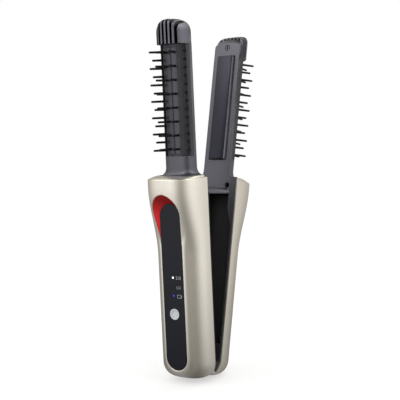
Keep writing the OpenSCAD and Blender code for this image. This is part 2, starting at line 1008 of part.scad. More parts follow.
module barrel_cover() {
    difference() {
        translate([0, 0, cover_low])
            linear_extrude(tip_low - cover_low)
                barrel_profile();
        translate([0, 0, rows_low - 2.5 - fit])
            linear_extrude(row_l + 5 + 2 * fit) {
                sector(
                    crown_r - strip_t, crown_r + past,
                    -centre_angle - centre_spread, centre_angle + centre_spread, 0.3);
                for (s = [-1, 1])
                    sector(
                        crown_r - strip_t, crown_r + 0.6,
                        s * (side_angle - side_spread), s * (side_angle + side_spread), 0.3);
            }
    }
}

// Pin that stands on the crown at angle a and height z, leaning outwards
module brush_pin(a, lean, z, l) {
    tip_r = pin_root_r * 0.82;
    translate([crown_r * sin(a), crown_y + crown_r * cos(a), z])
        rotate([-90, 0, -lean])
            translate([0, 0, -strip_t / 2]) {
                cylinder(h = l + strip_t / 2 - tip_r, r1 = pin_root_r, r2 = tip_r);
                translate([0, 0, l + strip_t / 2 - tip_r])
                    sphere(r = tip_r);
            }
}

module centre_bristles() {
    z0 = rows_low + centre_in;
    translate([0, 0, rows_low - 2.5])
        linear_extrude(row_l + 5)
            difference() {
                sector(
                    crown_r - strip_t, crown_r + strip_proud,
                    -centre_angle - centre_spread, centre_angle + centre_spread);
                translate([-0.5, barrel_depth - 0.4])
                    square([1, 2]);
            }
    for (i = [0:centre_count - 1])
        for (s = [-1, 1])
            brush_pin(
                s * centre_angle, s * centre_angle, z0 + i * centre_pitch, centre_pin);
}

module side_bristles() {
    translate([0, 0, rows_low - 2.5])
        linear_extrude(row_l + 5)
            sector(
                crown_r - strip_t, crown_r + strip_proud,
                side_angle - side_spread, side_angle + side_spread);
    for (i = [0:side_count - 1])
        brush_pin(
            side_angle, side_lean, rows_low + i * side_pitch,
            i % 2 == 0 ? long_pin : short_pin);
}

// Tip caps

// Cross sections of a cap, before its top is given its rise
function cap_rings(tip, inset) =
    let (top = tip[0], span = tip[2], edge = tip[3])
    concat(
        [cap_ring(1, 1, tip_low - tip[4] * tip_depth, inset)],
        [for (a = [0:10:80])
            let (u = pow(sin(a), 2 / tip[1]))
            cap_ring(
                pow(cos(a), 2 / tip[1]), pow(1 - pow(u, edge), 1 / edge),
                top - span + (span - inset) * u, inset)],
        [cap_ring(0.08, 0.3, top - inset, inset)]
    );

module cap_form(tip, inset) {
    multmatrix([[1, 0, 0, 0], [0, 1, 0, 0], [0, tip[4], 1, 0], [0, 0, 0, 1]])
        loft(cap_rings(tip, inset));
}

function cap_ring(ws, ds, z, inset) = half_ring(
    (half_tip - inset) * ws, (tip_depth - inset) * ds, tip_square, z);

fin_pitch = 3.3;
fin_gap = 1.7;
fin_depth = 5;

module tip_cap(tip) {
    high = tip[0] + tip[4] * tip_depth + past;
    difference() {
        intersection() {
            cap_form(tip, 0);
            block(-half_w, half_w, frame_t, tip_depth + past, tip_low, high);
        }
        difference() {
            for (x = [-2.5:1:2.5])
                block(
                    x * fin_pitch - fin_gap / 2, x * fin_pitch + fin_gap / 2,
                    frame_t + 1.5, tip_depth + past, tip_low - past, high);
            cap_form(tip, fin_depth);
        }
        rod(0, tip_low + tip_screw_up, 0, head_t + 0.2 + shank_l, shank_r);
    }
}

// Floating heater plates

module heater_plate() {
    block(
        -plate_w / 2, plate_w / 2, -plate_rise, -plate_rise + plate_t,
        plate_low, plate_high);
}

carrier_y = plate_t - plate_rise;
heater_in = 5;
// Flange that holds the carrier behind the frame
catch_w = 0.9;
catch_t = 1;
// Distance that the carrier ends inside the plate and the barrel cover
carrier_in = 0.2;

module plate_carrier() {
    half = plate_w / 2 - fit;
    difference() {
        union() {
            block(
                -half, half, carrier_y, frame_t,
                plate_low + carrier_in, plate_high - carrier_in);
            block(
                -slot_half - catch_w, slot_half + catch_w,
                frame_t, frame_t + catch_t,
                cover_low + carrier_in, tip_low - carrier_in);
        }
        block(
            -heater_w / 2, heater_w / 2, carrier_y - past, carrier_y + heater_t,
            plate_low + heater_in, plate_high - heater_in);
    }
}

module heater() {
    block(
        -heater_w / 2, heater_w / 2, carrier_y, carrier_y + heater_t,
        plate_low + heater_in, plate_high - heater_in);
}

// Two springs between the carrier and the barrel's crown
plate_spring_r = 2;

module plate_springs() {
    y0 = frame_t + catch_t;
    y1 = crown_y + sqrt(pow(crown_r - crown_t, 2) - pow(plate_spring_r, 2));
    for (u = [0.2, 0.8])
        translate([0, y0, plate_low + plate_l * u])
            rotate([-90, 0, 0])
                difference() {
                    cylinder(h = y1 - y0, r = plate_spring_r);
                    translate([0, 0, -past])
                        cylinder(h = y1 - y0 + 2 * past, r = plate_spring_r - 0.6);
                }
}

// Small cylinder that lies against the crown from inside
cutout_r = 0.9;
cutout_x = 4;
cutout_l = 9;
// Distance from the brush's middle down to the cut-out's lower end
cutout_drop = 6;
cutout_y = crown_y + sqrt(pow(crown_r - crown_t - cutout_r - 0.02, 2) - pow(cutout_x, 2));

module thermal_cutout() {
    color(steel)
        place_main()
            translate([cutout_x, cutout_y, (cover_low + tip_low) / 2 - cutout_drop])
                cylinder(h = cutout_l, r = cutout_r);
}

// Screws: a round head with a cross, and a plain shank
module screw(x, z, y) {
    difference() {
        rod(x, z, y - head_t, y, head_r);
        block(x - 1.1, x + 1.1, y - head_t - past, y - head_t + 0.5, z - 0.22, z + 0.22);
        block(x - 0.22, x + 0.22, y - head_t - past, y - head_t + 0.5, z - 1.1, z + 1.1);
    }
    rod(x, z, y - 0.3, y + shank_l - 0.5, shank_r);
}

module arm_screws() {
    screw(0, tip_low + tip_screw_up, head_t + 0.2);
    both_sides()
        screw(collar_screw_x, collar_screw_z, head_seat);
}

module main_barrel_cover() { color(graphite) place_main() barrel_cover(); }
module main_centre_bristles() { color(black) place_main() centre_bristles(); }
module main_left_bristles() { color(black) place_main() mirror([1, 0, 0]) side_bristles(); }
module main_right_bristles() { color(black) place_main() side_bristles(); }
module main_tip_cap() { color(graphite) place_main() tip_cap(main_tip); }
module main_heater_plate() { color("#3c3b42") place_main() heater_plate(); }
module main_plate_carrier() { color("#8b8b90") place_main() plate_carrier(); }
module main_heater() { color("#e6e2d6") place_main() heater(); }
module main_plate_springs() { color(steel) place_main() plate_springs(); }
module main_screws() { color(steel) place_main() arm_screws(); }
module lever_barrel_cover() { color(graphite) place_lever() barrel_cover(); }
module lever_centre_bristles() { color(black) place_lever() centre_bristles(); }
module lever_left_bristles() { color(black) place_lever() mirror([1, 0, 0]) side_bristles(); }
module lever_right_bristles() { color(black) place_lever() side_bristles(); }
module lever_tip_cap() { color(graphite) place_lever() tip_cap(lever_tip); }
module lever_heater_plate() { color("#3c3b42") place_lever() heater_plate(); }
module lever_plate_carrier() { color("#8b8b90") place_lever() plate_carrier(); }
module lever_heater() { color("#e6e2d6") place_lever() heater(); }
module lever_plate_springs() { color(steel) place_lever() plate_springs(); }
module lever_screws() { color(steel) place_lever() arm_screws(); }

main_housing();
thumb_scoop();
control_panel();
main_inner_cover();
main_frame();
main_barrel_cover();
main_centre_bristles();
main_left_bristles();
main_right_bristles();
main_tip_cap();
main_heater_plate();
main_plate_carrier();
main_heater();
main_plate_springs();
thermal_cutout();
battery_cells();
circuit_board();
tact_switch();
power_button();
indicator_lights();
charging_socket();
main_screws();
hinge_pin();
hinge_spring();
lever_housing();
lever_frame();
lever_liner();
lever_barrel_cover();
lever_centre_bristles();
lever_left_bristles();
lever_right_bristles();
lever_tip_cap();
lever_heater_plate();
lever_plate_carrier();
lever_heater();
lever_plate_springs();
lever_screws();
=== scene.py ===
"""Dresses the packed hair volumizing iron: shells, brush barrels, controls, finishes and stage."""
import math

import bmesh
import bpy
from bpy.props import FloatProperty, FloatVectorProperty, IntProperty, PointerProperty
from mathutils import Matrix, Vector


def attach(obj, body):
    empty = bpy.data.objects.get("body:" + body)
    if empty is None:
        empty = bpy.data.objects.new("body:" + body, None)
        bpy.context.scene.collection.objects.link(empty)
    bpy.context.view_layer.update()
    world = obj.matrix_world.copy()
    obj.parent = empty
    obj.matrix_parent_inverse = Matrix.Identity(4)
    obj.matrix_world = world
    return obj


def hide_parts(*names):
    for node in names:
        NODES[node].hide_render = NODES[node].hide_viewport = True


bl_info = {
    "name": "Volumizing iron dressing",
    "version": (1, 0, 0),
    "blender": (4, 5, 0),
    "location": "View3D > Sidebar > Iron",
    "description": "Builds the visible pieces and finishes of a cordless volumizing iron",
    "category": "Object",
}

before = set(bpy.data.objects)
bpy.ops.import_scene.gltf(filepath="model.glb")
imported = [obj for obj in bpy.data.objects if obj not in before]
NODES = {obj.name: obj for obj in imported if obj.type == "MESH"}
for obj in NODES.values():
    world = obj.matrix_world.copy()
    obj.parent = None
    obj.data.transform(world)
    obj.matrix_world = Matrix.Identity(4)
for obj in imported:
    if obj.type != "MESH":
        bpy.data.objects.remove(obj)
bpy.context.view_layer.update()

# Places of the two half frames: y = 0 is the mating plane and +y points outwards
OPENING = math.radians(13.8)
GAP = 0.0064
PIVOT_HEIGHT = 0.0058
SET_IN = 0.002
MAIN = Matrix.Translation((0, SET_IN, 0)) @ Matrix.Scale(-1, 4, (0, 1, 0))
LEVER = (
    Matrix.Translation((0, SET_IN + GAP / 2, PIVOT_HEIGHT))
    @ Matrix.Rotation(-OPENING, 4, "X")
    @ Matrix.Translation((0, GAP / 2, -PIVOT_HEIGHT)))
ARMS = {
    "main": {"place": MAIN, "body": "main_arm", "plate": "main_plate"},
    "lever": {"place": LEVER, "body": "lever_arm", "plate": "lever_plate"},
}

# Gaps and overlaps
FLUSH = 0.00002  # step between faces that would lie in one plane
CLEAR = 0.0001  # gap round what is let in
ROOM = 0.0003  # gap round what moves
PAST = 0.001  # how far a cutter passes a face
OVER = 0.004  # how far a cutter passes the collar
DEEP = 0.006  # how far the cutters behind the panel go in

# Pivot
KNUCKLE = 0.0049  # radius of the knuckles
MIDDLE_KNUCKLE = 0.012  # half length of the main arm's middle knuckle
KNUCKLE_START = 0.0123  # where the lever's two knuckles start, from the middle
KNUCKLE_END = 0.0154  # and where they end
KNUCKLE_FLOOR = 0.0044  # how far their webs reach below the pivot
WEB_START = 0.0017  # depth where the webs to the shell's sides start
WEB_END = 0.0046  # depth where all webs end
PIN_HOLE = {"r": 0.00155, "x0": -0.021, "x1": 0.0143}

# Shells
FLARE_STEPS = 44  # steps between the sections of the flare
BOTTOM_POWER = 2.2  # squareness of the bottom's rounding
BOTTOM_SHARE = 0.85  # how much of that rounding the sides take
ROOF = 0.0016  # thickness of the collar's top
FOOT_HALF = {"main": 0.0165, "lever": 0.0137}  # half width of the neck's foot
FOOT_DEPTH = 0.014  # depth of that foot
FOOT_SQUARE = 3.6  # squareness of that foot
FLANGE_T = 0.0016  # depth of the bed for the frame's flange
LEVER_FLANGE = 0.003  # height where the lever's bed starts
SOCKET = {"half": 0.0029, "r": 0.0017, "y": 0.0056, "depth": 0.007}
RAISED_ABOVE = 0.004  # depth above which the main shell's skin may be raised

# Panel and recess
PANEL_T = 0.0016  # thickness of the panel
LEDGE = 0.0016  # width of the lining's ledge behind the panel
SEAT = 0.0034  # how far the lining reaches in from the panel's face
EDGE_COVER = 0.0005  # thickness of shell over the lining's edge
BUTTON_PROUD = 0.0005  # how far the button stands out of the panel's face

# Print beside the lights, from the top: text or none for the battery, left edge, drop
# below the light, and finish
PRINT = (
    ("210", 0.0027, 0.0, "marking"), ("160", 0.0029, 0.0004, "faint"),
    (None, 0.0034, 0.0002, "marking"))
NARROW = 0.87  # narrowing of the figures
CAPITAL = 0.70  # height of a figure as a share of the font's size

# Barrels and tips
SIDE_STRIP = math.radians(5)  # half the angle of a side row's strip
CENTRE_STRIP = math.radians(6)  # how far the centre strip passes its rows
STRIP_PAST = 0.0025  # how far the strips pass the end pins
TIP_TAPER = 0.82  # radius of a pin's tip as a share of its root's
TIP_SCREW = 0.2492  # height of the tip screw
TIP_SEAT = 0.0012  # depth of the tip screw
COLLAR_SCREW = (0.011, 0.0055, 0.1421)  # place of a collar screw, whose twin is mirrored
CROSS_SHADE_BARS = (0.0005, 0.0015)  # half width and half length of a black bar of painted shade in the tip screw's cross
CROSS_SHADE_DEPTHS = (0.0002, 0.0009)  # depths between which those bars of painted shade lie
FRAME_T = 0.0029  # depth of the frames
FRONT_T = 0.0065  # depth of the lever tip's smooth front
FIN_PITCH = 0.0033
FIN_GAP = 0.0017


def length(name, description, default):
    return FloatProperty(
        name=name, description=description, default=default, unit="LENGTH",
        precision=5, min=0.0, soft_max=0.5)


def tint(name, description, default):
    return FloatVectorProperty(
        name=name, description=description, default=default, subtype="COLOR",
        size=3, min=0.0, max=1.0)


class IronHandleForm(bpy.types.PropertyGroup):
    """Sizes of the two handle shells"""
    width: length("Width", "Width of the closed handle", 0.040)
    height: length("Height", "Height of the shells' rim", 0.147)
    main_depth: length("Main depth", "Depth of the main grip", 0.020)
    main_collar: length("Main collar", "Depth of the main collar", 0.0286)
    lever_depth: length("Lever depth", "Depth of the lever grip", 0.0208)
    lever_collar: length("Lever collar", "Depth of the lever collar", 0.0291)
    flare_low: length("Flare start", "Height where the collar starts to flare", 0.091)
    flare_high: length("Flare end", "Height where the flare is full", 0.141)
    bottom_round: length("Bottom rounding", "Height of the rounded bottom", 0.0124)
    wall: length("Wall", "Wall thickness of the shells", 0.0026)
    lip: length("Lip", "Width of the shell's edge at the mating plane", 0.0009)
    rim_round: length("Rim rounding", "Rounding of the collar's rim", 0.0011)
    rise: length("Collar rise", "Height of the collar top's raised middle", 0.0014)
    grip_square: FloatProperty(
        name="Grip squareness", description="How square the grip's section is",
        default=2.75, min=2.0, max=6.0)
    collar_square: FloatProperty(
        name="Collar squareness", description="How square the collar's section is",
        default=3.25, min=2.0, max=6.0)


class IronPanelForm(bpy.types.PropertyGroup):
    """Sizes of the control panel, the thumb recess and what sits on them"""
    half: length("Half width", "Half the panel's width", 0.0089)
    low: length("Lower end", "Height of the panel's lower end", 0.0078)
    high: length("Upper end", "Height of the panel's upper end", 0.1291)
    face: length("Face", "Depth of the panel's face", 0.01985)
    recess_wall: length("Lining", "Thickness of the recess's lining", 0.001)
    slope: FloatProperty(
        name="Recess slope", description="How fast the thumb recess widens outwards",
        default=0.85, min=0.1, max=1.5)
    steep_side: FloatProperty(
        name="Steep side", description="How much steeper the recess's right wall is",
        default=0.3, min=0.0, max=1.0)
    flat: length("Flat face", "Depth of the flat front of the panel", 0.0202)
    raised: length("Raised edge", "Depth of the shell round the panel", 0.0201)
    spread: length("Raised width", "Distance over which the raised edge ends", 0.0055)
    seam: length("Seam", "Gap between the panel and the shell", 0.0001)
    button: length("Button height", "Height of the power button", 0.0491)
    button_radius: length("Button radius", "Radius of the power button", 0.0041)
    light: length("Light height", "Height of the upper indicator", 0.0758)
    light_pitch: length("Light pitch", "Distance between the indicators", 0.0066)
    light_radius: length("Light radius", "Radius of an indicator", 0.0009)
    number: length("Number height", "Height of the temperature numbers", 0.0024)


class IronBrushForm(bpy.types.PropertyGroup):
    """Sizes of the brush barrels and their bristles"""
    depth: length("Depth", "Depth of the barrel", 0.010)
    crown: length("Crown radius", "Radius of the barrel's crown", 0.0144)
    rows: length("First pin", "Height of the lowest side pin", 0.1666)
    side_pitch: length("Side pitch", "Distance between side pins", 0.00588)
    centre_pitch: length("Centre pitch", "Distance between centre pins", 0.00983)
    long_pin: length("Long pin", "Length of the long side pins", 0.0104)
    short_pin: length("Short pin", "Length of the short side pins", 0.0083)
    centre_pin: length("Centre pin", "Length of the centre pins", 0.0116)
    root: length("Pin root", "Radius of a pin at its root", 0.00092)
    side_count: IntProperty(
        name="Side pins", description="Pins in each side row", default=13, min=1, max=40)
    centre_count: IntProperty(
        name="Centre pins", description="Pins in each centre row", default=8, min=1, max=40)
    side_angle: FloatProperty(
        name="Side angle", description="Place of the side rows round the crown",
        default=math.radians(39.5), subtype="ANGLE")
    side_lean: FloatProperty(
        name="Side lean", description="Direction that the side pins point in",
        default=math.radians(45), subtype="ANGLE")
    centre_angle: FloatProperty(
        name="Centre angle", description="Place of the centre rows round the crown",
        default=math.radians(13.5), subtype="ANGLE")


class IronColours(bpy.types.PropertyGroup):
    """Colours of the finishes"""
    shell: tint("Shell", "Champagne lacquer of the handles", (0.83, 0.79, 0.705))
    lining: tint("Lining", "Red of the thumb recess", (0.88, 0.032, 0.038))
    panel: tint("Panel", "Navy of the control panel", (0.006, 0.0068, 0.013))
    graphite: tint("Graphite", "Plastic of frames, barrels and tips", (0.112, 0.111, 0.131))
    black: tint("Black", "Plastic inside the handles", (0.004, 0.004, 0.005))
    bristle: tint("Bristle", "Nylon of the bristles", (0.0025, 0.0025, 0.003))
    plate: tint("Plate", "Coating of the heater plates", (0.028, 0.028, 0.042))
    button: tint("Button", "Grey of the power button", (0.68, 0.69, 0.71))
    marking: tint("Marking", "Print on the panel", (0.62, 0.63, 0.66))
    faint: tint("Faint marking", "Print beside the unlit indicator", (0.30, 0.30, 0.33))


class IronStage(bpy.types.PropertyGroup):
    """Floor, lamps and background"""
    floor: FloatProperty(
        name="Floor tone", description="Brightness of the floor", default=0.7, min=0, max=1)
    paleness: FloatProperty(
        name="Paleness", description="White added where the floor itself is seen",
        default=0.5, min=0, max=1)
    sky: FloatProperty(
        name="Room light", description="Strength of the light from all round",
        default=0.72, min=0, max=2)
    lamp: FloatProperty(
        name="Lamp strength", description="Brightness of the two soft boxes",
        default=1.25, min=0, max=5)


def handle():
    return bpy.context.scene.iron_handle


def panel():
    return bpy.context.scene.iron_panel


def brush():
    return bpy.context.scene.iron_brush


# Mesh helpers: forms are drawn in a half frame and then put in place

def new_piece(name, mesh):
    piece = bpy.data.objects.new(name, mesh)
    bpy.context.scene.collection.objects.link(piece)
    return piece


def mesh_from(name, points, faces):
    mesh = bpy.data.meshes.new(name)
    mesh.from_pydata(points, [], faces)
    mesh.update()
    return mesh


def outward(mesh, merge=0.0):
    """Merges doubles and turns every face outwards."""
    bm = bmesh.new()
    bm.from_mesh(mesh)
    if merge:
        bmesh.ops.remove_doubles(bm, verts=bm.verts, dist=merge)
    bmesh.ops.recalc_face_normals(bm, faces=bm.faces)
    bm.to_mesh(mesh)
    bm.free()


def squircle(w, d, square, z, back=0.0, sides=96):
    """Half section with a flat side on y = 0, carried back to y = -back."""
    ring = []
    for i in range(sides + 1):
        a = math.pi * i / sides
        c, s = math.cos(a), max(0.0, math.sin(a))
        ring.append((
            w * math.copysign(abs(c) ** (2 / square), c), d * s ** (2 / square), z))
    if back:
        ring = [(w, -back, z)] + ring + [(-w, -back, z)]
    return ring


def circle(sides):
    """Angles of a circle's points."""
    return [2 * math.pi * i / sides for i in range(sides)]


def skinned(name, rings, ends=False):
    """Mesh over closed rings of as many points each, open or with flat ends."""
    n = len(rings[0])
    faces = [
        (k * n + i, k * n + (i + 1) % n, (k + 1) * n + (i + 1) % n, (k + 1) * n + i)
        for k in range(len(rings) - 1) for i in range(n)]
    if ends:
        last = (len(rings) - 1) * n
        faces += [tuple(range(n)), tuple(range(last, last + n))]
    return mesh_from(name, [p for ring in rings for p in ring], faces)


def lofted(name, rings):
    """Solid over closed rings."""
    mesh = skinned(name, rings, ends=True)
    outward(mesh)
    return new_piece(name, mesh)


def rectangle(x0, x1, z0, z1):
    return [(x0, z0), (x1, z0), (x1, z1), (x0, z1)]


def slab(name, outline, y0, y1):
    """Solid between y0 and y1 whose outline is drawn in x and z."""
    return lofted(name, [[(x, y, z) for x, z in outline] for y in (y0, y1)])


def pivot_rod(x0, x1, r):
    """Round rod about the pivot's axis."""
    return lofted("pivot", [
        [(x, r * math.cos(a) - GAP / 2, r * math.sin(a) + PIVOT_HEIGHT) for a in circle(64)]
        for x in (x0, x1)])


def turned(name, profile, z, top):
    """Turned solid whose axis lies along y; the profile gives radius and height."""
    mesh = skinned(name, [
        [(r * math.cos(a), top + up, z + r * math.sin(a)) for a in circle(48)]
        for r, up in profile])
    outward(mesh, 1e-8)
    return new_piece(name, mesh)


def baked(piece):
    """Turns a piece with modifiers into a plain mesh."""
    graph = bpy.context.evaluated_depsgraph_get()
    mesh = bpy.data.meshes.new_from_object(piece.evaluated_get(graph), depsgraph=graph)
    piece.modifiers.clear()
    old = piece.data
    piece.data = mesh
    bpy.data.meshes.remove(old)
    return piece


def shaped(piece, *tools, operation="DIFFERENCE"):
    for tool in tools:
        cut = piece.modifiers.new("shape", "BOOLEAN")
        cut.operation = operation
        cut.solver = "EXACT"
        cut.object = tool
        baked(piece)
        bpy.data.objects.remove(tool)
    return piece


def joined(name, pieces):
    """One object of several, with their material slots kept."""
    bm = bmesh.new()
    slots = []
    for piece in pieces:
        before = len(bm.faces)
        shift = len(slots)
        slots.extend(piece.data.materials)
        bm.from_mesh(piece.data)
        bm.faces.ensure_lookup_table()
        for face in bm.faces[before:]:
            face.material_index += shift
    mesh = bpy.data.meshes.new(name)
    bm.to_mesh(mesh)
    bm.free()
    for slot in slots:
        mesh.materials.append(slot)
    for piece in pieces:
        bpy.data.objects.remove(piece)
    return new_piece(name, mesh)


def smooth(piece, angle=30.0):
    piece.data.shade_smooth()
    piece.data.set_sharp_from_angle(angle=math.radians(angle))
    return piece


def rounded(piece, width):
    """Small rounding of every sharp edge."""
    bevel = piece.modifiers.new("edge", "BEVEL")
    bevel.width = width
    bevel.segments = 3
    bevel.limit_method = "ANGLE"
    bevel.angle_limit = math.radians(35.0)
    return baked(piece)


def put(piece, place):
    """Moves a form from its half frame to its place."""
    piece.data.transform(place)
    if place.determinant() < 0:
        piece.data.flip_normals()
    return piece


def placed(piece, place, merge, angle):
    """Puts a form in place, merges its doubles and shades its curves smooth."""
    outward(put(piece, place).data, merge)
    return smooth(piece, angle)


def sloped_top(piece, place, low=0.2445, high=0.257, drop=0.0034, face=0.0003, boss=0.003):
    """Slopes the top of a frame's face back, all but the boss that holds the screw."""
    back = place.inverted()
    for vertex in piece.data.vertices:
        x, y, z = back @ vertex.co
        if y < face and z > low and math.hypot(x, z - TIP_SCREW) > boss:
            vertex.co = place @ Vector((x, y, z - drop * ((z - low) / (high - low)) ** 1.5))


def smooth_front(piece, place, front, back, low=0.2425, high=0.28, half=0.02):
    """Fills a finned tip between two depths and above a height, so its front is whole."""
    hull = new_piece("tip_front", piece.data.copy())
    bm = bmesh.new()
    bm.from_mesh(hull.data)
    found = bmesh.ops.convex_hull(bm, input=bm.verts)
    inner = [item for item in found["geom_interior"] + found["geom_unused"]
             if isinstance(item, bmesh.types.BMVert)]
    bmesh.ops.delete(bm, geom=inner, context="VERTS")
    kept = {face for face in found["geom"] if isinstance(face, bmesh.types.BMFace)}
    bmesh.ops.delete(bm, geom=[face for face in bm.faces if face not in kept],
                     context="FACES_ONLY")
    bmesh.ops.recalc_face_normals(bm, faces=bm.faces)
    bm.to_mesh(hull.data)
    bm.free()
    box = slab("band", rectangle(-half, half, low, high), front, back)
    return shaped(hull, put(box, place), operation="INTERSECT")


def copy_of(node):
    """Merged copy of a CAD node with its flat faces made whole."""
    mesh = NODES[node].data.copy()
    mesh.materials.clear()
    bm = bmesh.new()
    bm.from_mesh(mesh)
    bmesh.ops.remove_doubles(bm, verts=bm.verts, dist=2e-6)
    bmesh.ops.dissolve_limit(
        bm, angle_limit=math.radians(0.6), verts=bm.verts, edges=bm.edges)
    bm.to_mesh(mesh)
    bm.free()
    return new_piece(node + "_skin", mesh)


def stand_for(piece, body, finish, slot, *nodes):
    """Gives a finished piece its material, its body and the nodes it stands for."""
    if finish is not None:
        piece.data.materials.clear()
        piece.data.materials.append(finish)
    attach(piece, body)
    if nodes:
        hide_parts(*nodes)
    return piece


# Material helpers

class Value:
    """A shader socket that takes part in Python arithmetic."""

    def __init__(self, finish, out):
        self.finish = finish
        self.out = out

    def maths(self, operation, *others):
        return self.finish.node(
            "ShaderNodeMath", {"operation": operation}, dict(enumerate((self,) + others)))

    def reflected(self, operation, other):
        return self.finish.node(
            "ShaderNodeMath", {"operation": operation}, {0: other, 1: self})

    def __add__(self, other):
        return self.maths("ADD", other)

    def __sub__(self, other):
        return self.maths("SUBTRACT", other)

    def __rsub__(self, other):
        return self.reflected("SUBTRACT", other)

    def __mul__(self, other):
        return self.maths("MULTIPLY", other)

    def __truediv__(self, other):
        return self.maths("DIVIDE", other)

    def __rtruediv__(self, other):
        return self.reflected("DIVIDE", other)

    def __pow__(self, other):
        return self.maths("POWER", other)

    def __rpow__(self, other):
        return self.reflected("POWER", other)

    def __gt__(self, other):
        return self.maths("GREATER_THAN", other)

    def __lt__(self, other):
        return self.maths("LESS_THAN", other)

    __radd__ = __add__
    __rmul__ = __mul__

    def clipped(self):
        return self.maths("MAXIMUM", 0.0).maths("MINIMUM", 1.0)


def opaque(colour):
    """A colour socket as it is, or a colour with its fourth value."""
    return colour if isinstance(colour, Value) else (*colour, 1.0)


class Shading:
    """Builds the shader nodes of a material or a world."""

    def __init__(self, owner):
        owner.use_nodes = True
        self.owner = owner
        self.tree = owner.node_tree
        self.tree.nodes.clear()

    def node(self, kind, settings=None, sockets=None, output=0):
        """Adds a node with its settings and the values or links of its sockets."""
        made = self.tree.nodes.new(kind)
        for key, value in (settings or {}).items():
            if key == "stops":
                ramp = made.color_ramp.elements
                while len(ramp) < len(value):
                    ramp.new(0.5)
                for element, (position, colour) in zip(ramp, value):
                    element.position = position
                    element.color = colour
            else:
                setattr(made, key, value)
        for key, value in (sockets or {}).items():
            if isinstance(value, Value):
                self.tree.links.new(value.out, made.inputs[key])
            else:
                made.inputs[key].default_value = value
        return Value(self, made.outputs[output]) if made.outputs else None

    def seen_directly(self):
        """1 for what the camera sees, also in a mirror or through a clear piece."""
        seen = self.node("ShaderNodeLightPath", output="Is Camera Ray")
        for ray in ("Is Glossy Ray", "Is Transmission Ray"):
            seen = seen.maths("MAXIMUM", self.node("ShaderNodeLightPath", output=ray))
        return seen

    def close(self, shader, kind="ShaderNodeOutputMaterial"):
        """Ends the tree in its output and gives the material or world."""
        self.node(kind, None, {0: shader})
        return self.owner


class Finish(Shading):
    """Builds one procedural material."""

    def __init__(self, name):
        super().__init__(bpy.data.materials.new(name))
        self.place = self.node("ShaderNodeTexCoord", output="Object")

    def noise(self, scale, detail=3.0, roughness=0.5, stretch=(1, 1, 1)):
        where = self.place
        if stretch != (1, 1, 1):
            where = self.node("ShaderNodeMapping", None, {"Vector": where, "Scale": stretch})
        return self.node(
            "ShaderNodeTexNoise", None,
            {"Vector": where, "Scale": scale, "Detail": detail, "Roughness": roughness})

    def axis(self, name):
        return self.node("ShaderNodeSeparateXYZ", None, {0: self.place}, output=name)

    def blend(self, share, low, high):
        """Mix of two colours or colour sockets."""
        return self.node("ShaderNodeMix", {"data_type": "RGBA"}, {
            0: share, 6: opaque(low), 7: opaque(high)}, output=2)

    def surface(self, height=None, depth=0.0, strength=1.0, edge=0.0):
        """Normal from a rounded edge and a height in metres."""
        sockets = {}
        if edge:
            sockets["Normal"] = self.node(
                "ShaderNodeBevel", {"samples": 4}, {"Radius": edge})
        if height is None:
            return sockets.get("Normal")
        sockets.update({"Height": height, "Distance": depth, "Strength": strength})
        return self.node("ShaderNodeBump", None, sockets)

    def done(self, **sockets):
        """Ends the material in one surface shader with the given sockets."""
        named = {key.replace("_", " "): value for key, value in sockets.items()
                 if value is not None}
        return self.close(self.node("ShaderNodeBsdfPrincipled", None, named))


def shade(colour, factor):
    """A colour made darker or lighter."""
    return tuple(min(1.0, c * factor) for c in colour)


def lacquer(name, colour):
    """Metallic lacquer: fine flakes, a slight orange peel and worn gloss."""
    f = Finish(name)
    flakes = f.node(
        "ShaderNodeTexVoronoi", None, {"Vector": f.place, "Scale": 5200.0}, output="Color")
    spark = f.node("ShaderNodeSeparateColor", None, {0: flakes})
    cloud = f.noise(38.0, 2.0)
    tone = f.blend(spark, shade(colour, 0.93), shade(colour, 1.07))
    tone = f.blend((cloud * 0.5).clipped(), tone, shade(colour, 0.96))
    scuff = f.noise(420.0, 5.0, 0.65, (1.0, 1.0, 0.18))
    rough = 0.235 + scuff * 0.07 + f.noise(2600.0, 1.0) * 0.035
    peel = f.noise(950.0, 1.5)
    return f.done(
        Base_Color=tone, Metallic=0.86, Roughness=rough, Coat_Weight=0.25,
        Coat_Roughness=0.12,
        Normal=f.surface(peel + spark * 0.35, 0.000006, 0.55, 0.00025))


def moulded(name, colour, rough=0.4, grain=1700.0, depth=0.000012, coat=0.0, edge=0.0003,
            cloud=0.14, gleam=0.5, metallic=0.0, fins=False, painted_shade=None):
    """Moulded plastic: fine spark-eroded grain, faint clouding and handling marks, with optional
    painted shade that darkens it upwards and to the right, and optional painted shade in the gaps
    between fins.
    """
    f = Finish(name)
    fine = f.noise(grain, 2.5, 0.6)
    wide = f.noise(75.0, 3.0)
    marks = f.noise(260.0, 4.0, 0.7, (1.0, 1.0, 0.25))
    tone = f.blend(wide, shade(colour, 1 - cloud), shade(colour, 1 + cloud))
    tone = f.blend((fine * 0.4).clipped(), tone, shade(colour, 1.12))
    if painted_shade:
        # Painted shade: the colour darkens to about a third towards the top and the right, where
        # the recess lies in shade behind the panel's arch
        share = (f.axis("Z") - painted_shade[0]) / (painted_shade[1] - painted_shade[0]) + f.axis("X") * 40.0
        tone = f.blend(share.clipped(), tone, shade(colour, 0.36))
    if fins:
        # Painted shade: the gaps between the middle fins are coloured near black, standing in for
        # the shade inside them
        off = (f.axis("X") / FIN_PITCH + 8.0).maths("FRACT") - 0.5
        gap = off.maths("ABSOLUTE") < FIN_GAP / FIN_PITCH / 2 + 0.012
        inside = gap * (f.axis("X").maths("ABSOLUTE") < FIN_PITCH * 2.5 + FIN_GAP)
        tone = f.blend(inside, tone, shade(colour, 0.06))
    return f.done(
        Base_Color=tone, Roughness=rough - 0.05 + marks * 0.1 + fine * 0.04,
        Metallic=metallic, Coat_Weight=coat, Coat_Roughness=0.15,
        Specular_IOR_Level=gleam, Normal=f.surface(fine, depth, 0.6, edge))


